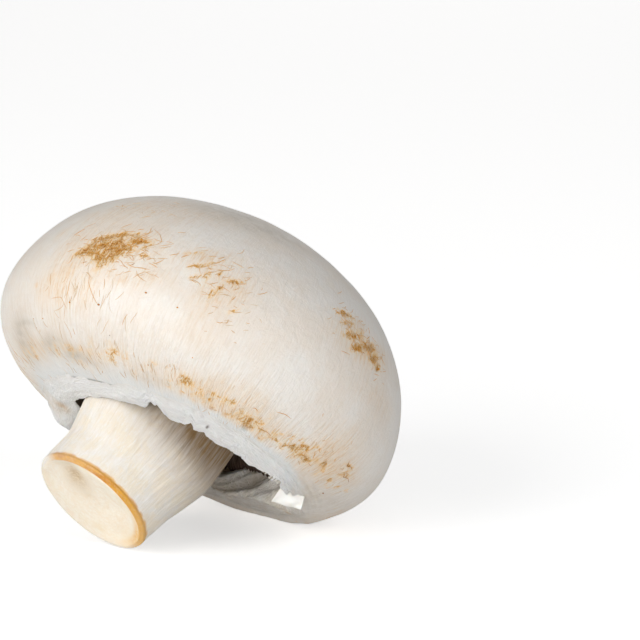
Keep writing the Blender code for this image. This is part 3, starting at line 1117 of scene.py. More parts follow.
def veil_finish(settings):
    """Cottony white membrane with fibres drawn along the tear; its inner face has painted light and
    shade on its folds and painted shade in its creases.
    """
    f = Finish("veil")
    grain = f.painted("grain", vector=True)
    cotton = f.noise(f.stretched(grain, (1.0, 1.0, 5.0)), 0.7, 6, 0.62, 0.5)
    drawn = f.noise(f.stretched(grain, (1.0, 1.0, 7.0)), 1.6, 4, 0.6, 0.4)
    cloud = f.noise(grain, 0.5, 4, 0.6, 0.4)
    colour = f.blend(f.ranged(cotton, 0.35, 0.7), tuple(settings.colour), VEIL_LIGHT)
    colour = f.blend(f.ranged(cloud, 0.45, 0.75, 0.0, 0.5), colour, VEIL_COOL)
    colour = f.blend(f.ranged(drawn, 0.52, 0.75, 0.0, 0.42), colour, VEIL_STREAK)
    skin = f.blend(f.ranged(cloud, 0.35, 0.65), SEAM_DARK, SEAM_LIGHT)
    colour = f.blend(f.patchy("seam", cotton, 0.3, 0.6, 0.6), colour, skin)
    # Inner face: bands lighter and darker along its folds are painted light and shade, and its creases
    # get painted shade
    folds = f.noise(f.stretched(grain, (1.0, 1.0, 1.6)), 0.22, 3, 0.5, 0.8)
    inner = f.blend(f.ranged(folds, 0.4, 0.6), tuple(settings.inner_colour), INNER_FOLD_HIGHLIGHT)
    inner = f.blend(f.ranged(drawn, 0.45, 0.7, 0.0, 0.35), inner, INNER_STREAK)
    inner = f.blend(f.sum("MULTIPLY", f.painted("crease"), 0.55), inner, CREASE_SHADE)
    colour = f.blend(f.painted("inside"), colour, inner)
    colour = f.blend(f.patchy("stain", cloud, 0.3, 0.6, 0.5), colour, VEIL_TAN)
    colour = f.blend(f.painted("fleck"), colour, FLECK_BROWN)
    rough = f.ranged(cotton, 0.3, 0.7, 0.6, 0.85)
    relief = f.sum("MULTIPLY_ADD", drawn, 0.6, cotton)
    normal = f.bump(relief, 0.0004, 0.9)
    return f.shade(colour, rough, normal, **flesh_constants(0.16, 0.1))


def stem_finish(settings):
    """Pale fibrous flesh, the cut face and its dried orange edge."""
    f = Finish("stem")
    grain = f.painted("grain", vector=True)
    hair = f.noise(f.stretched(grain, (1.0, 1.0, 0.1)), 2.6, 5, 0.6, 0.4)
    fine_hair = f.noise(f.stretched(grain, (1.0, 1.0, 0.16)), 7.0, 3, 0.6, 0.5)
    cloud = f.noise(grain, 0.35, 5, 0.6, 0.5)
    curd = f.noise(grain, 1.7, 6, 0.66, 0.8)
    colour = f.blend(f.ranged(cloud, 0.4, 0.62), tuple(settings.flesh), FLESH_WARM)
    colour = f.blend(f.ranged(hair, 0.45, 0.75, 0.0, 0.4), colour, FLESH_STREAK)
    colour = f.blend(f.ranged(fine_hair, 0.5, 0.7, 0.0, 0.6), colour, FLESH_SHINE)
    # Brown on the upper stem: partly stain, partly painted shadow of the veil and cap
    colour = f.blend(f.patchy("stain", hair, 0.3, 0.65, 0.6), colour, STEM_STAIN_AND_SHADOW)

    cut = f.painted("cut")
    face = f.blend(f.ranged(curd, 0.35, 0.68), tuple(settings.cut), CUT_LIGHT)
    face = f.blend(f.ranged(cloud, 0.45, 0.7, 0.0, 0.5), face, CUT_WARM)
    colour = f.blend(cut, colour, face)
    # dent: brown stain in the dent, and painted shade along the crease inside the dried edge
    colour = f.blend(f.patchy("dent", curd, 0.3, 0.65, 0.4), colour, DENT_STAIN_AND_CREASE_SHADE)
    rust = f.blend(f.ranged(cloud, 0.4, 0.6), tuple(settings.rust), RUST_LIGHT)
    colour = f.blend(f.patchy("rust", curd, 0.25, 0.6, 0.8), colour, rust)
    colour = f.blend(f.patchy("amber", curd, 0.25, 0.65, 0.4), colour, AMBER)

    rough = f.ranged(f.sum("ADD", hair, cut), 0.3, 1.4, 0.62, 0.5)
    relief = f.blend(cut, f.sum("MULTIPLY_ADD", fine_hair, 0.4, hair), curd)
    normal = f.bump(relief, 0.00014, 0.8)
    return f.shade(colour, rough, normal, **flesh_constants(0.15, 0.08))


def gill_finish(settings):
    """Dark brown blades with a powdering of spores."""
    f = Finish("gill")
    place = f.add("ShaderNodeTexCoord").outputs["Object"]
    powder = f.noise(place, 900.0, 5, 0.65)
    band = f.noise(place, 160.0, 3, 0.5)
    colour = f.blend(f.ranged(powder, 0.35, 0.7), tuple(settings.colour), GILL_POWDER)
    colour = f.blend(f.painted("tone"), colour, GILL_LIGHT)
    colour = f.blend(f.ranged(band, 0.4, 0.7, 0.0, 0.5), colour, GILL_BAND)
    rough = f.ranged(powder, 0.3, 0.7, 0.65, 0.9)
    normal = f.bump(powder, 0.00005, 0.7)
    return f.shade(colour, rough, normal, **flesh_constants(0.05))


def flap_finish():
    """Cream torn edge of the veil with fine cross ribs."""
    f = Finish("torn flap")
    place = f.add("ShaderNodeTexCoord").outputs["Object"]
    cloth = f.noise(place, 700.0, 5, 0.6, 0.4)
    cloud = f.noise(place, 260.0, 4, 0.6, 0.4)
    colour = f.blend(f.ranged(cloth, 0.35, 0.7), FLAP_CREAM, FLAP_LIGHT)
    colour = f.blend(f.ranged(cloud, 0.5, 0.75, 0.0, 0.5), colour, FLAP_WARM)
    colour = f.blend(f.painted("tone"), colour, RIB_BROWN)
    rough = f.ranged(cloth, 0.3, 0.7, 0.55, 0.8)
    normal = f.bump(cloth, 0.0001, 0.8)
    return f.shade(colour, rough, normal, **flesh_constants(0.3, 0.1))


# ---------------------------------------------------------------- cap


def seam_height(degrees, around):
    """Height of the ragged line where the skin gives way to the veil."""
    height = by_turn(SEAM, degrees) + 0.5 * ripple_round(around, 60, 9)
    return height + 0.3 * ripple_round(around, 190, 12)


def band_at(degrees):
    """Height and strength of the tanned band at one turn."""
    return float(by_turn(MARGIN_BAND, degrees)), float(by_turn(MARGIN_BAND, degrees, 2))


def strewn_marks():
    """Small bruises strewn through the tanned band, thickest where the band is strong."""
    rng = random.Random(STREWN_SEED)
    marks = []
    for _ in range(STREWN_MARKS):
        degrees = rng.uniform(*STREWN_ARC)
        middle, chance = band_at(degrees)
        up = middle + rng.gauss(0.1, 0.9)
        size = rng.uniform(0.22, 0.45)
        calm = 0.45 if degrees < -52 else 1.0
        if rng.random() < chance:
            length = size * rng.uniform(1.0, 2.4)
            lean = rng.uniform(-20, 100)
            strength = rng.uniform(0.2, 0.65) * calm
            marks.append((degrees, up, length, size, lean, strength))
    return tuple(marks)


def cap_paint(form, degrees, up, around, along):
    """Strength of each marking at every point of the skin."""
    radius = form.radius_at(up)
    band_height = by_turn(MARGIN_BAND, degrees) + 0.7 * ripple_round(around, 26, 10)
    band = by_turn(MARGIN_BAND, degrees, 2) * bell(up - band_height, 1.9)
    band = band * (0.55 + 0.45 * ripple(around, along, 46, 9, 11))
    haze = 1 - (1 - marks_at(degrees, up, radius, HAZE)) * (1 - np.clip(band, 0, 1) * 0.8)
    tufted = np.maximum(eased(1.0, -8.0, up), haze)
    fade = 1.0 + 2.6 * bell(degrees + 96, 34)
    far_side = eased(6, 24, degrees) * eased(160, 130, degrees)
    below_seam = eased(1.0, -0.1, (up - seam_height(degrees, around)) / fade)
    return {
        "bruise": marks_at(degrees, up, radius, BRUISE + strewn_marks()),
        "haze": haze,
        # Greying marks, partly painted shade high on the dome
        "grey_and_shade": marks_at(degrees, up, radius, GREY_AND_SHADE),
        "hairy": eased(21.0, 16.0, up) * (0.35 + 0.65 * tufted),
        "pale": below_seam * (0.9 - 0.8 * far_side),
    }


def make_cap(settings, form, tip):
    """The cap: skin, rolled margin and the lining of its hollow, as one closed mesh."""
    turn = np.linspace(0, 2 * math.pi, CAP_COLUMNS, endpoint=False)[None, :]
    around = turn / (2 * math.pi)
    up = np.linspace(form.top - 0.15, form.edge, CAP_ROWS)[:, None]
    along = (form.top - up) / (form.top - form.edge)
    painted = cap_paint(form, wrapped(np.degrees(turn)), up, around, along)
    pitting = painted["bruise"] * (0.07 * ripple(around, along, 220, 90, 8) - 0.08)
    skin = form.point(turn, up, cap_relief(form, turn, up) + pitting)

    inner_r, inner_z = form.lining(LINING_ROWS)
    lining = form.placed(turn, inner_r[1:, None], inner_z[1:, None])
    lining[..., 2] -= cap_relief(form, turn, form.edge) * eased(-5.0, -8.0, inner_z[1:, None])
    grid = np.concatenate([skin, lining])

    def with_lining(values, inside=0.0):
        values = np.broadcast_to(values, skin.shape[:2])
        return poled(np.concatenate([values, np.full(lining.shape[:2], inside)]))

    lining_up = form.edge - np.arange(1, LINING_ROWS) * LINING_GRAIN_STEP
    grain_up = np.concatenate([up[:, 0], lining_up])[:, None]
    values = {key: with_lining(value) for key, value in painted.items()}
    values["inside"] = with_lining(0.0, 1.0)
    values["grain"] = poled(round_grain(CAP_GRAIN_RADIUS, turn, grain_up))
    values["place"] = with_poles(grid)
    faces = [face[::-1] for face in ring_faces(len(grid), CAP_COLUMNS)]
    cap = new_piece("cap", with_poles(grid), faces, tip, values)
    return finished(cap, cap_skin_finish(settings), "cap_skin", "cap")


# ---------------------------------------------------------------- fibres on the cap


def fibre_tube(form, degrees, up, width):
    """Rings of a thin flattened fibre that follows the skin through the given points."""
    share = np.linspace(0, 1, 2 + 2 * len(degrees))
    knots = np.linspace(0, 1, len(degrees))
    turn = np.radians(np.interp(share, knots, degrees))
    height = np.interp(share, knots, up)
    lift = cap_relief(form, turn, height) + 0.2 * width
    middle = form.point(turn, height, lift)
    out = form.point(turn, height, lift + 1.0) - middle
    ahead = np.gradient(middle, axis=0)
    ahead /= np.linalg.norm(ahead, axis=1, keepdims=True)
    side = np.cross(ahead, out)
    side /= np.linalg.norm(side, axis=1, keepdims=True)
    swell = width * np.sqrt(np.clip(1 - (2 * share - 1) ** 2, 0.03, 1))
    angle = np.linspace(0, 2 * math.pi, FIBRE_SIDES, endpoint=False)
    ring = side[:, None] * np.cos(angle)[None, :, None]
    ring = ring + out[:, None] * FIBRE_FLATNESS * np.sin(angle)[None, :, None]
    return middle[:, None] + ring * swell[:, None, None]


def wandering(rng, degrees, up, radius, length, heading, curl):
    """Degrees and heights of a short fibre that starts at a point and curls as it goes."""
    stride = length / FIBRE_STEPS
    where, height, way = degrees, up, heading
    path = [(where, height)]
    bend = rng.uniform(-curl, curl)
    for _ in range(FIBRE_STEPS):
        way += bend / FIBRE_STEPS + rng.uniform(-0.25, 0.25) * curl
        where += math.degrees(math.sin(way) * stride / radius)
        height += math.cos(way) * stride
        path.append((where, height))
    return tuple(zip(*path))


def traced_fibres(form):
    """The fibres whose run is given, and the stubs that show as specks."""
    for tone, *path in TRAILS:
        degrees, up = zip(*path)
        yield fibre_tube(form, degrees, up, TRAIL_WIDTH), tone
    for where, height, size in SPOTS:
        reach = math.degrees(size / float(form.radius_at(height)))
        degrees = (where - reach, where, where + reach)
        up = (height, height + 0.3 * size, height)
        yield fibre_tube(form, degrees, up, 0.7 * size), SPOT_TONE


def bruise_fibres(form, rng, count):
    """Curled fibres strewn over the bruises, most of them on the largest and strongest."""
    weights = [mark[5] * mark[2] * mark[3] for mark in BRUISE]
    for _ in range(count):
        where, height, length, width, lean, strength = rng.choices(BRUISE, weights)[0]
        forward = rng.gauss(0, length * 0.8)
        sideways = rng.gauss(0, width * 1.1)
        cos, sin = math.cos(math.radians(lean)), math.sin(math.radians(lean))
        up = height + forward * cos - sideways * sin
        radius = float(form.radius_at(up))
        degrees = where + math.degrees((forward * sin + sideways * cos) / radius)
        heading = math.radians(lean) + rng.gauss(0, 0.55)
        path = wandering(rng, degrees, up, radius, rng.uniform(0.5, 1.7), heading, 1.6)
        tube = fibre_tube(form, *path, rng.uniform(0.022, 0.045))
        yield tube, rng.uniform(0.3, 0.95) * (0.5 + 0.5 * strength)


def field_fibres(form, rng):
    """Fine fibres strewn over each of the listed fields."""
    for where, height, wide, tall, lean, length, count, pale, dark in FIBRE_FIELDS:
        for _ in range(count):
            up = height + rng.gauss(0, tall)
            radius = float(form.radius_at(up))
            degrees = where + math.degrees(rng.gauss(0, wide) / radius)
            heading = math.radians(lean) + rng.gauss(0, 0.26)
            reach = length * rng.uniform(0.4, 1.3)
            path = wandering(rng, degrees, up, radius, reach, heading, 0.9)
            tube = fibre_tube(form, *path, rng.uniform(0.024, 0.05))
            yield tube, rng.uniform(pale, dark)


def band_fibres(form, rng, count):
    """Short fibres that stand down out of the tanned band, where it is strong enough."""
    for _ in range(count):
        degrees = rng.uniform(-180, 180)
        middle, strength = band_at(degrees)
        if rng.random() > strength:
            continue
        up = middle + rng.gauss(0, 1.3)
        radius = float(form.radius_at(up))
        heading = rng.gauss(math.pi, 0.3)
        path = wandering(rng, degrees, up, radius, rng.uniform(0.4, 1.2), heading, 0.5)
        tube = fibre_tube(form, *path, rng.uniform(0.02, 0.04))
        yield tube, rng.uniform(0.0, 0.5) * (0.5 + 0.5 * strength)


def make_cap_fibres(settings, form, tip):
    """Loose dried fibres: some along given runs and the rest strewn over the marks."""
    rng = random.Random(FIBRE_SEED)
    strands = [
        *traced_fibres(form),
        *bruise_fibres(form, rng, settings.fibres // 5),
        *field_fibres(form, rng),
        *band_fibres(form, rng, settings.fibres * 4 // 5),
    ]
    tubes, tones = zip(*strands)
    piece = bundle("cap_fibres", tubes, tones, tip)
    return finished(piece, fibre_finish(settings), "cap_skin")


# ---------------------------------------------------------------- veil and flap


def torn_edge(settings, degrees, around):
    """Radius of the torn edge about the mouth's centre, with its fine teeth."""
    teeth = ripple_round(around, 110, 31) + 0.7 * ripple_round(around, 260, 32)
    teeth = teeth + 0.5 * ripple_round(around, 430, 30)
    ragged = 0.6 + 0.9 * bell(degrees + 30, 45)
    return by_turn(TEAR, degrees) + settings.fringe / MM * ragged * teeth


def veil_skin(form, turn, up, seam, share, skinned):
    """The outer face: it swells below the seam and sags where the veil hangs loose."""
    degrees = wrapped(np.degrees(turn))
    around = turn / (2 * math.pi)
    swell = 0.24 * (1 - 0.8 * skinned) * (1 - 0.6 * bell(degrees + 100, 34))
    lift = cap_relief(form, turn, up) - 0.03 + swell * eased(0.0, 1.6, seam - up)
    lift = lift - 0.13 * eased(0.6, 1.0, share)
    lift = lift + 0.12 * eased(0.1, 0.6, share) * ripple(around, share, 34, 7, 33)
    lift = lift + 0.06 * eased(0.0, 0.5, share) * ripple(around, share, 120, 16, 34)
    hanging = bell(wrapped(degrees + 163), 13) * bell(up + 15.0, 1.9)
    outer = form.point(turn, up, lift + 1.4 * hanging)
    past_rim = np.clip(form.lowest - up, 0, None)
    outer[..., 2] += 0.035 * past_rim**2
    return outer


def veil_lip(settings, edge, turn, far):
    """Two rings that turn the torn edge over by the veil's thickness."""
    inward = np.stack([-np.cos(turn), -np.sin(turn), 0 * turn], -1)
    uneven = 0.8 + 0.3 * ripple_round(turn / (2 * math.pi), 40, 35)
    width = (settings.thickness / MM * uneven * (1 - 0.8 * far))[:, None]
    under = edge + inward * width * 0.4 + UPRIGHT * width * 0.35
    over = edge + inward * width * 0.3 + UPRIGHT * width
    return np.stack([under, over])


def folded_wall(turn, tear, foot, climb):
    """The stretch that stands up in the mouth: its points and how far its folds stand out."""
    degrees = wrapped(np.degrees(turn))
    around = turn / (2 * math.pi)
    crest = VEIL_WALL_HEIGHT + 0.9 * ripple_round(around, 30, 38)
    crest = crest + 0.35 * ripple_round(around, 120, 39)
    crest = crest * (1 - 0.55 * eased(94, 114, degrees))
    bulge = 1.8 * np.sin(math.pi * climb) * (0.7 + 0.6 * ripple_round(around, 9, 40))
    sweep = around + 0.11 * climb
    folds = 0.85 * ripple(sweep, climb, 22, 3, 36) + 0.5 * ripple(sweep, climb, 52, 3, 37)
    pleats = folds * np.sin(math.pi * climb) ** 0.7
    radius = VEIL_WALL_RADIUS * climb + tear * (1 - climb) - bulge + pleats
    radius = radius * (1 - CAP_OVAL * np.cos(2 * turn))
    x = RIM_SHIFT[0] + radius * np.cos(turn)
    y = RIM_SHIFT[1] + radius * np.sin(turn)
    return np.stack([x, y, foot + crest * climb**1.3], -1), pleats


def veil_inner(form, lip, turn, tear, far, step):
    """The inner face back to its root in the cap, and the strength of the painted shade in its creases.
    """
    root_r, root_z = (np.full(VEIL_COLUMNS, size) for size in VEIL_ROOT)
    root = form.placed(turn[0], root_r, root_z)[None]
    plain = lip[None] * (1 - step[..., None]) + root * step[..., None]
    plain[..., 2] += 0.25 * np.sin(math.pi * step)
    climb = np.clip(step / VEIL_WALL_SHARE, 0, 1)
    back = eased(VEIL_WALL_SHARE, 1.0, step)
    wall, pleats = folded_wall(turn, tear, lip[None, :, 2], climb)
    wall = wall * (1 - back[..., None]) + root * back[..., None]
    inner = plain * (1 - far[..., None]) + wall * far[..., None]
    return inner, eased(0.0, 0.75, pleats) * far * (1 - back)


def make_veil(settings, form, tip):
    """The torn veil: a cottony skin over the margin that ends in a ragged free edge."""
    turn = np.linspace(0, 2 * math.pi, VEIL_COLUMNS, endpoint=False)[None, :]
    degrees = wrapped(np.degrees(turn))
    around = turn / (2 * math.pi)
    # On the far side the skin runs over the veil, the white is gone and a wall stands up
    skinned = eased(2, 22, degrees) * eased(160, 130, degrees)
    bare = eased(30, 42, degrees) * eased(150, 120, degrees)
    far = eased(34, 46, degrees) * eased(132, 112, degrees)
    seam = seam_height(degrees, around)
    tear = torn_edge(settings, degrees, around)
    free = form.lowest + (tear - form.rim)
    share = np.linspace(0, 1, VEIL_ROWS)[:, None]
    up = seam + (free - seam) * share

    outer = veil_skin(form, turn, up, seam, share, skinned)
    lip = veil_lip(settings, outer[-1], turn[0], far[0])
    step = np.linspace(0, 1, VEIL_INNER_ROWS)[1:, None]
    inner, crease = veil_inner(form, lip[-1], turn, tear, far, step)
    grid = np.concatenate([outer, lip, inner])
    rows = len(grid)

    def over_rows(values, first, last=None):
        layer = np.zeros((rows, VEIL_COLUMNS))
        layer[first:last] = values
        return layer.ravel()

    radius = form.radius_at(up)
    tint = np.maximum(0.5 * eased(0.3, 0.0, share), bare)
    tint = np.maximum(tint, skinned * eased(0.95, 0.6, share))
    lip_up = up[-1] - VEIL_LIP_GRAIN
    lip_rows = np.broadcast_to(lip_up, (2, VEIL_COLUMNS))
    grain_up = np.concatenate([up, lip_rows, lip_up - step * VEIL_INNER_GRAIN])
    lip_end = VEIL_ROWS + len(lip)
    values = {
        "grain": round_grain(VEIL_GRAIN_RADIUS, turn, grain_up).reshape(-1, 3),
        "inside": over_rows(1.0, VEIL_ROWS + 1),
        "stain": over_rows(marks_at(degrees, up, radius, VEIL_STAINS), 0, VEIL_ROWS),
        "fleck": over_rows(marks_at(degrees, up, radius, VEIL_FLECKS), 0, VEIL_ROWS),
        "seam": over_rows(tint, 0, VEIL_ROWS) + over_rows(bare, VEIL_ROWS, lip_end),
        # crease: painted shade in the creases of the folded inner wall
        "crease": over_rows(crease, lip_end),
    }
    faces = ring_faces(rows, VEIL_COLUMNS, closed_ends=False)
    first = np.arange(VEIL_COLUMNS)
    last = (rows - 1) * VEIL_COLUMNS + first
    closing = np.stack([last, np.roll(last, -1), np.roll(first, -1), first], -1)
    faces.extend(closing.tolist())
    faces = [face[::-1] for face in faces]
    veil = new_piece("torn_veil", grid, faces, tip, values)
    return finished(veil, veil_finish(settings), "veil", "torn_veil")


def flap_sheet():
    """Closed loops of points, front and back, along the cream flap."""
    top_left, top_right, low_right, low_left = (np.array(corner) for corner in FLAP_CORNERS)
    s = np.linspace(0, 1, FLAP_COLUMNS)[:, None, None]
    t = np.linspace(0, 1, FLAP_ROWS)[None, :, None]
    top = top_left * (1 - s) + top_right * s
    low = low_left * (1 - s) + low_right * s
    sheet = top * (1 - t) + low * t
    facing = np.cross(top_right - top_left, low_left - top_left)
    facing /= np.linalg.norm(facing)
    wave = 0.14 * ripple(s[..., 0] * 0.5, t[..., 0], 9, 3, 41) + 0.1 * np.sin(s[..., 0] * 9)
    front = sheet + facing * (wave[..., None] - 0.12 * (2 * t - 1) ** 2)
    back = sheet + facing * (wave[..., None] - FLAP_THICKNESS)
    return np.concatenate([front, back[:, ::-1]], axis=1)


def make_flap(tip):
    """The cream flap at the end of the mouth and the torn ribs beside it."""
    rng = random.Random(RIB_SEED)
    tubes, tones = [flap_sheet()], [0.0]
    start, stride, run = (np.array(way) for way in (RIB_START, RIB_STEP, RIB_RUN))
    behind = np.cross(run, stride)
    behind *= -RIB_DEPTH / np.linalg.norm(behind)
    side = stride * RIB_HALF_WIDTH
    for k in range(RIB_COUNT):
        top = start + stride * k
        low = top + run * rng.uniform(0.75, 1.15)
        path = bezier(top, (top + low) / 2 - behind * 0.4, low, np.linspace(0, 1, 8))
        ring = (path - side, path + side, path + side + behind, path - side + behind)
        tubes.append(np.stack(ring, 1))
        tones.append(rng.uniform(0.0, 0.55))
    piece = bundle("torn_flap", tubes, tones, tip)
    return finished(piece, flap_finish(), "veil")


# ---------------------------------------------------------------- gills


def gill_edges(radius):
    """Heights of a full gill's lower and upper edges along its radius."""
    run = (radius - GILL_LOW_INNER[0]) / (GILL_LOW_OUTER[0] - GILL_LOW_INNER[0])
    outward = np.clip(run, 0, 1)
    low = GILL_LOW_INNER[1] + (GILL_LOW_OUTER[1] - GILL_LOW_INNER[1]) * outward
    low = low - GILL_BOW * 4 * outward * (1 - outward)
    low = low + (GILL_INNER[1] - GILL_LOW_INNER[1]) * eased(0.12, -0.13, run)
    return low, hollow_height(radius) + GILL_ROOTING


def gill_blade(turn, start, phase):
    """Rings of one blade, which begins at a share of the way out from the stem."""
    share = np.linspace(0, 1, GILL_RINGS)
    along = start + (1 - start) * share
    radius = GILL_INNER[0] + (GILL_LOW_OUTER[0] - GILL_INNER[0]) * along
    low, high = gill_edges(radius)
    if start:
        low = low + (high - 0.6 - low) * eased(0.18, 0.0, share)
    sway = turn + 0.012 * np.sin(radius * 0.9 + phase)
    side = np.stack([-np.sin(sway), np.cos(sway), 0 * sway], -1)
    spine = np.stack([radius * np.cos(sway), radius * np.sin(sway), 0 * sway], -1)
    lower = spine + UPRIGHT * low[:, None]
    middle = spine + UPRIGHT * (low + 0.35 * (high - low))[:, None]
    upper = spine + UPRIGHT * high[:, None]
    thin, thick = side * GILL_EDGE_HALF_WIDTH, side * GILL_HALF_WIDTH
    right = (lower + thin, middle + thick, upper + thick)
    left = (upper - thick, middle - thick)
    return np.stack((lower - thin, *right, *left), 1)


def make_gills(settings, tip):
    """The gill blades: full ones that reach the stem and short ones between them."""
    rng = random.Random(GILL_SEED)
    tubes, tones = [], []
    total = settings.count * 2
    for k in range(total):
        start = 0.0 if k % 2 == 0 else rng.uniform(0.35, 0.62)
        turn = 2 * math.pi * (k + rng.uniform(-0.18, 0.18)) / total
        tubes.append(gill_blade(turn, start, rng.uniform(0, 6)))
        tones.append(rng.uniform(0.0, 0.5))
    gills = bundle("gills", tubes, tones, tip)
    return finished(gills, gill_finish(settings), "gill", "gills")


# ---------------------------------------------------------------- stem


def stem_frame(share):
    """Centres of the stem at shares of its length, and the two directions across it."""
    centre = bezier(STEM_TOP, STEM_BEND, STEM_CUT_CENTRE, share)
    a, b, c = (np.array(p) for p in (STEM_TOP, STEM_BEND, STEM_CUT_CENTRE))
    ahead = 2 * (1 - share[:, None]) * (b - a) + 2 * share[:, None] * (c - b)
    ahead = ahead / np.linalg.norm(ahead, axis=-1, keepdims=True)
    across = -np.cross((0.0, 1.0, 0.0), ahead)
    across = across / np.linalg.norm(across, axis=1, keepdims=True)
    return centre, across, -np.cross(ahead, across)


def stem_radius(share, fullness):
    """Radius along the stem, with the listed sizes joined smoothly."""
    knots, sizes = zip(*STEM_RADII)
    fine = np.linspace(-0.2, 1.5, 681)
    plain = np.interp(fine, knots, sizes)
    kernel = bell(np.linspace(-2, 2, 41), 1.0)
    soft = np.convolve(np.pad(plain, 20, mode="edge"), kernel / kernel.sum(), "valid")
    return np.interp(share, fine, soft) * fullness


def stem_wall(settings, turn, along, normal):
    """Rings of the fibrous side, down to where the cut begins to round off."""
    around = turn / (2 * math.pi)
    fine = np.linspace(0, STEM_RUN_ON, 400)
    centre, across, beside = stem_frame(fine)
    out = across[:, None] * np.cos(turn)[..., None] + beside[:, None] * np.sin(turn)[..., None]
    side = centre[:, None] + out * stem_radius(fine, settings.fullness)[:, None, None]

    past_cut = (side - np.array(STEM_CUT_CENTRE)) @ normal
    ends = [np.interp(-CUT_ROUNDING, column, fine) for column in past_cut.T]
    place = along * np.array(ends) / fine[-1] * (len(fine) - 1)
    low = np.clip(np.floor(place).astype(int), 0, len(fine) - 2)
    rest = (place - low)[..., None]
    column = np.arange(STEM_COLUMNS)[None, :]
    wall = side[low, column] * (1 - rest) + side[low + 1, column] * rest

    ridge = 0.05 * ripple(around + 0.02 * along, along, 90, 5, 51)
    ridge = ridge + 0.035 * ripple(around, along, 200, 9, 52)
    ridge = ridge + 0.16 * ripple(around, along, 7, 4, 53)
    calm = eased(1.0, 0.93, along)
    return wall + out[low, column] * (ridge * (0.35 + 0.65 * calm))[..., None]


def cut_rings(rim, normal):
    """Rings that round the rim over and cross the cut, and each one's reach from its heart."""
    heart = rim.mean(axis=0)
    inward = heart - rim
    size = np.linalg.norm(inward, axis=1, keepdims=True)
    inward = inward / size
    swing = np.linspace(0, math.pi / 2, CUT_CORNER_ROWS + 1)[1:, None, None]
    turned = inward * CUT_ROUNDING * (1 - np.cos(swing))
    corner = rim + normal * CUT_ROUNDING * np.sin(swing) + turned
    fraction = np.linspace(0, 0.985, CUT_ROWS)[1:, None, None]
    face = corner[-1] + (heart + normal * CUT_ROUNDING - corner[-1]) * fraction
    reach = 1 - fraction[:, 0, 0] * (size.mean() - CUT_HEART_RADIUS) / size.mean()
    return corner, face, reach


class CutPlace:
    """Where each point of the stem lies on the cut, as seen by someone facing it."""

    def __init__(self, points, reach, normal, tip):
        world_up = np.array(tip.to_3x3())[2]
        plane_up = world_up - (world_up @ normal) * normal
        plane_up /= np.linalg.norm(plane_up)
        offset = points - np.array(STEM_CUT_CENTRE)
        self.height = offset @ plane_up
        self.sideways = offset @ np.cross(normal, plane_up)
        self.angle = np.degrees(np.arctan2(self.sideways, self.height))
        self.reach = np.broadcast_to(reach[:, None], points.shape[:2])
        self.on_face = np.zeros(points.shape[:2])
        self.on_face[STEM_ROWS:] = 1.0
        self.dried = eased(34, 12, self.angle) * eased(-165, -125, self.angle)
        self.dried = self.dried * (0.82 + 0.18 * bell(self.angle + 62, 40))

    def patch(self, height, tall, sideways, wide):
        """A soft oval patch on the cut, by its middle and its spread each way."""
        across = ((self.sideways - sideways) / wide) ** 2
        return np.exp(-((self.height - height) / tall) ** 2 - across)

    def relief(self, around):
        """How far the cut stands out: a curled bead, a crease inside it and a dent."""
        bead = 0.25 * bell(self.reach - 0.965, 0.03) * self.dried
        crease = 0.42 * bell(self.reach - 0.89, 0.035) * bell(self.angle + 48, 34)
        hollow = 0.35 * (1 - self.reach**2) + 0.34 * self.patch(4.3, 2.6, 0.3, 1.6)
        swells = 0.10 * ripple(around, self.reach, 9, 4, 54) * eased(1.0, 0.8, self.reach)
        return (bead - crease - hollow * eased(0.98, 0.8, self.reach) + swells) * self.on_face

    def paint(self, around, to_edge):
        """Strength of the cut's tone, its dried edge, the amber beside it, and the brown dent with
        painted shade along the crease inside the edge.
        """
        uneven = 0.45 + 0.4 * ripple_round(around, 66, 55) + 0.35 * ripple_round(around, 19, 56)
        wall_reach = 0.06 + 0.55 * np.clip(uneven, 0.03, None)
        wall_ring = eased(1.0, 0.1, to_edge / wall_reach) * (1 - self.on_face)
        shaken = self.reach + 0.012 * ripple_round(around, 60, 58)
        rust = (eased(0.94, 0.965, shaken) * self.on_face + wall_ring) * self.dried
        amber = eased(0.80, 0.9, self.reach) * self.on_face * bell(self.angle + 128, 34) * 0.9
        amber = np.maximum(amber, wall_ring * bell(self.angle + 60, 70) * 0.4)
        dent = 0.6 * self.patch(4.6, 1.5, 0.6, 1.3) + 0.55 * self.patch(3.0, 2.4, 0.9, 2.0)
        # A dark line along the crease inside the dried edge: painted shade
        dent = dent + 0.8 * bell(self.reach - 0.89, 0.025) * bell(self.angle + 50, 30)
        return {
            "cut": eased(0.99, 0.965, self.reach) * self.on_face,
            "rust": np.clip(rust, 0, 1),
            "amber": np.clip(amber, 0, 1),
            "dent": np.clip(dent, 0, 1) * eased(0.96, 0.92, self.reach) * self.on_face,
        }


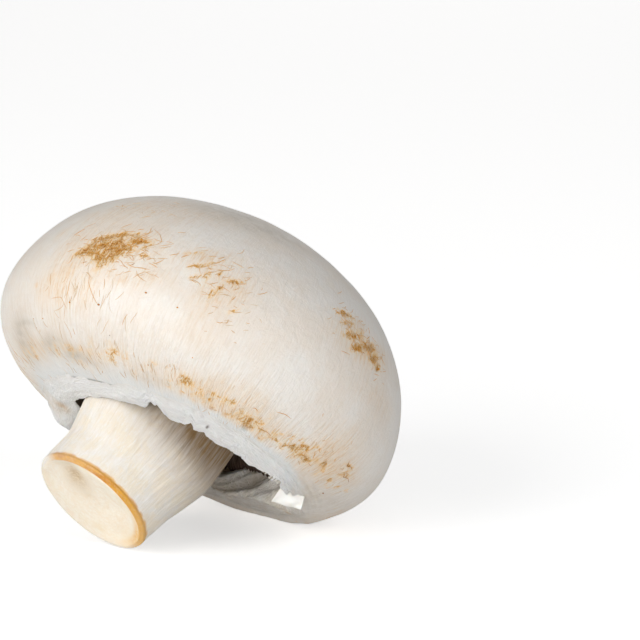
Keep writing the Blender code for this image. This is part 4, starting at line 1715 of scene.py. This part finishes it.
def make_stem(settings, tip):
    """The stem with its fibrous side, its cut face and the curled, dried edge of the cut."""
    turn = np.linspace(0, 2 * math.pi, STEM_COLUMNS, endpoint=False)[None, :]
    around = turn / (2 * math.pi)
    along = np.linspace(0, 1, STEM_ROWS)[:, None]
    along = np.broadcast_to(along, (STEM_ROWS, STEM_COLUMNS))
    normal = np.array(STEM_CUT_NORMAL) / np.linalg.norm(STEM_CUT_NORMAL)
    wall = stem_wall(settings, turn, along, normal)
    corner, face, face_reach = cut_rings(wall[-1], normal)
    whole = np.concatenate([wall, corner, face])
    reach = np.concatenate([np.ones(STEM_ROWS + CUT_CORNER_ROWS), face_reach])
    place = CutPlace(whole, reach, normal, tip)
    whole = whole + normal * place.relief(around)[..., None]

    to_edge = np.zeros(whole.shape[:2])
    to_edge[:STEM_ROWS] = np.linalg.norm(wall - wall[-1][None], axis=-1)
    # Brown band part way down the stem, strongest on one side: partly a real stain, partly painted
    # shadow of the veil and cap above it
    stain = np.zeros(whole.shape[:2])
    stain[:STEM_ROWS] = bell(wrapped(np.degrees(turn) + 5), 60) * bell(along - 0.46, 0.22)
    patchy = 0.6 + 0.4 * ripple_round(around, 12, 57)
    stain[:STEM_ROWS] += 0.7 * bell(along - 0.42, 0.14) * patchy
    face_run = STEM_GRAIN_LENGTH + np.arange(len(whole) - STEM_ROWS) * CUT_GRAIN_STEP
    run = np.concatenate([along[:, 0] * STEM_GRAIN_LENGTH, face_run])[:, None]
    grain_x = np.where(place.on_face > 0, place.sideways, STEM_GRAIN_RADIUS * np.cos(turn))
    grain_y = np.where(place.on_face > 0, place.height, STEM_GRAIN_RADIUS * np.sin(turn))
    values = {key: poled(value) for key, value in place.paint(around, to_edge).items()}
    values["stain"] = poled(np.clip(stain, 0, 1))
    values["grain"] = poled(np.stack(np.broadcast_arrays(grain_x, grain_y, run), -1))
    faces = ring_faces(len(whole), STEM_COLUMNS)
    stem = new_piece("stem", with_poles(whole), faces, tip, values)
    return finished(stem, stem_finish(settings), "stem_skin", "stem")


# ---------------------------------------------------------------- stage


def aimed(obj, target):
    """Turns a light or camera to face the target."""
    obj.rotation_euler = (target - obj.location).to_track_quat("-Z", "Y").to_euler()


def soft_light(name, power, direction, target, colour):
    """A round soft light that faces the target."""
    lamp = bpy.data.lights.new(name, "AREA")
    lamp.shape = "DISK"
    lamp.energy = power
    lamp.size = LIGHT_SIZE
    lamp.color = colour
    obj = bpy.data.objects.new(name, lamp)
    bpy.context.scene.collection.objects.link(obj)
    obj.location = target + direction.normalized() * LIGHT_DISTANCE
    aimed(obj, target)


def make_floor(settings):
    """A wide, plain pale floor just under the mushroom."""
    mesh = bpy.data.meshes.new("floor")
    corners = [(x * FLOOR_REACH, y * FLOOR_REACH, 0) for x, y in ((-1, -1), (1, -1), (1, 1), (-1, 1))]
    mesh.from_pydata(corners, [], [(0, 1, 2, 3)])
    floor = bpy.data.objects.new("floor", mesh)
    bpy.context.scene.collection.objects.link(floor)
    floor.location.z = -FLOOR_DROP
    f = Finish("floor")
    place = f.add("ShaderNodeTexCoord").outputs["Object"]
    grain = f.noise(place, 300.0, 3, 0.5)
    tone = tuple(settings.floor)
    colour = f.blend(f.ranged(grain, 0.3, 0.7, 0.0, 0.06), tone, tuple(c * 0.96 for c in tone))
    shader = f.add("ShaderNodeBsdfPrincipled", {"Base Color": colour, "Roughness": 0.8})
    shader.inputs["Emission Color"].default_value = (1.0, 1.0, 1.0, 1.0)
    seen = f.add("ShaderNodeLightPath").outputs["Is Camera Ray"]
    f.feed(shader.inputs["Emission Strength"], f.sum("MULTIPLY", seen, settings.glow))
    output = f.add("ShaderNodeOutputMaterial")
    f.tree.links.new(shader.outputs[0], output.inputs["Surface"])
    mesh.materials.append(f.material)


def make_world(settings):
    """Weak light from all round, behind which the camera sees a plain white wall."""
    scene = bpy.context.scene
    world = bpy.data.worlds.new("studio")
    scene.world = world
    world.use_nodes = True
    tree = world.node_tree
    ambient = tree.nodes["Background"]
    ambient.inputs["Color"].default_value = (0.98, 0.99, 1.0, 1.0)
    ambient.inputs["Strength"].default_value = settings.ambient
    wall = tree.nodes.new("ShaderNodeBackground")
    wall.inputs["Color"].default_value = (1.0, 1.0, 1.0, 1.0)
    seen = tree.nodes.new("ShaderNodeLightPath")
    chosen = tree.nodes.new("ShaderNodeMixShader")
    tree.links.new(seen.outputs["Is Camera Ray"], chosen.inputs[0])
    tree.links.new(ambient.outputs[0], chosen.inputs[1])
    tree.links.new(wall.outputs[0], chosen.inputs[2])
    tree.links.new(chosen.outputs[0], tree.nodes["World Output"].inputs["Surface"])
    scene.view_settings.view_transform = "Standard"


def make_camera(settings, ring_centre):
    """The camera, and the ways back, right and up as it sees them."""
    turn, climb = settings.azimuth, settings.elevation
    back = Vector((math.sin(turn) * math.cos(climb), -math.cos(turn) * math.cos(climb), math.sin(climb)))
    right = Vector((math.cos(turn), math.sin(turn), 0))
    upward = back.cross(right)
    data = bpy.data.cameras.new("camera")
    data.lens = settings.lens
    data.sensor_width = 36.0
    data.clip_start = 0.01
    camera = bpy.data.objects.new("camera", data)
    bpy.context.scene.collection.objects.link(camera)
    offset = right * VIEW_SHIFT[0] * MM + upward * VIEW_SHIFT[1] * MM
    camera.location = ring_centre + offset + back * settings.distance
    camera.rotation_euler = back.to_track_quat("Z", "Y").to_euler()
    bpy.context.scene.camera = camera
    return back, right, upward


# ---------------------------------------------------------------- operators


def current_form(context):
    """The cap's form by its settings, and the matrix that tips the mushroom over."""
    form = CapForm(context.scene.mushroom_cap)
    return form, tipped(form)


class MUSHROOM_OT_cap(bpy.types.Operator):
    """Build the cap with its bruised skin"""

    bl_idname = "mushroom.cap"
    bl_label = "Cap"

    def execute(self, context):
        form, tip = current_form(context)
        make_cap(context.scene.mushroom_cap, form, tip)
        return {"FINISHED"}


class MUSHROOM_OT_cap_fibres(bpy.types.Operator):
    """Strew dried skin fibres over the cap's marks"""

    bl_idname = "mushroom.cap_fibres"
    bl_label = "Cap Fibres"

    def execute(self, context):
        form, tip = current_form(context)
        make_cap_fibres(context.scene.mushroom_cap, form, tip)
        return {"FINISHED"}


class MUSHROOM_OT_veil(bpy.types.Operator):
    """Build the torn veil under the margin"""

    bl_idname = "mushroom.veil"
    bl_label = "Torn Veil"

    def execute(self, context):
        form, tip = current_form(context)
        make_veil(context.scene.mushroom_veil, form, tip)
        return {"FINISHED"}


class MUSHROOM_OT_flap(bpy.types.Operator):
    """Build the cream flap and torn ribs at the end of the mouth"""

    bl_idname = "mushroom.flap"
    bl_label = "Torn Flap"

    def execute(self, context):
        make_flap(current_form(context)[1])
        return {"FINISHED"}


class MUSHROOM_OT_gills(bpy.types.Operator):
    """Build the gill blades in the hollow"""

    bl_idname = "mushroom.gills"
    bl_label = "Gills"

    def execute(self, context):
        make_gills(context.scene.mushroom_gills, current_form(context)[1])
        return {"FINISHED"}


class MUSHROOM_OT_stem(bpy.types.Operator):
    """Build the stem and its cut face"""

    bl_idname = "mushroom.stem"
    bl_label = "Stem"

    def execute(self, context):
        make_stem(context.scene.mushroom_stem, current_form(context)[1])
        return {"FINISHED"}


class MUSHROOM_OT_stage(bpy.types.Operator):
    """Set out the floor, the lights and the camera"""

    bl_idname = "mushroom.stage"
    bl_label = "Stage"

    def execute(self, context):
        settings = context.scene.mushroom_stage
        centre = current_form(context)[1].translation
        make_floor(settings)
        make_world(settings)
        back, right, upward = make_camera(settings, centre)
        for name, power, way, colour in SOFT_LIGHTS:
            direction = right * way[0] + upward * way[1] + back * way[2]
            soft_light(name, power * settings.lights, direction, centre, colour)
        return {"FINISHED"}


class MUSHROOM_PT_panel(bpy.types.Panel):
    """The mushroom's pieces and their settings"""

    bl_idname = "MUSHROOM_PT_panel"
    bl_label = "Button Mushroom"
    bl_space_type = "VIEW_3D"
    bl_region_type = "UI"
    bl_category = "Mushroom"

    def draw(self, context):
        scene = context.scene
        for operators, settings in PANEL_ROWS:
            box = self.layout.box()
            for operator in operators:
                box.operator(operator.bl_idname)
            for name in getattr(scene, settings).__annotations__:
                box.prop(getattr(scene, settings), name)


SETTINGS = {
    "mushroom_cap": CapSettings,
    "mushroom_veil": VeilSettings,
    "mushroom_stem": StemSettings,
    "mushroom_gills": GillSettings,
    "mushroom_stage": StageSettings,
}
PANEL_ROWS = (
    ((MUSHROOM_OT_cap, MUSHROOM_OT_cap_fibres), "mushroom_cap"),
    ((MUSHROOM_OT_veil, MUSHROOM_OT_flap), "mushroom_veil"),
    ((MUSHROOM_OT_stem,), "mushroom_stem"),
    ((MUSHROOM_OT_gills,), "mushroom_gills"),
    ((MUSHROOM_OT_stage,), "mushroom_stage"),
)
OPERATORS = tuple(operator for operators, _ in PANEL_ROWS for operator in operators)


def register():
    """Adds the settings, the operators and the panel."""
    for kind in (*SETTINGS.values(), *OPERATORS, MUSHROOM_PT_panel):
        bpy.utils.register_class(kind)
    for name, kind in SETTINGS.items():
        setattr(bpy.types.Scene, name, PointerProperty(type=kind))


def unregister():
    """Takes the settings, the operators and the panel away."""
    for name in SETTINGS:
        delattr(bpy.types.Scene, name)
    for kind in (MUSHROOM_PT_panel, *reversed(OPERATORS), *reversed(SETTINGS.values())):
        bpy.utils.unregister_class(kind)


def main():
    """Builds the whole scene."""
    register()
    bpy.ops.mushroom.cap()
    bpy.ops.mushroom.cap_fibres()
    bpy.ops.mushroom.veil()
    bpy.ops.mushroom.flap()
    bpy.ops.mushroom.gills()
    bpy.ops.mushroom.stem()
    bpy.ops.mushroom.stage()


if __name__ == "__main__":
    main()
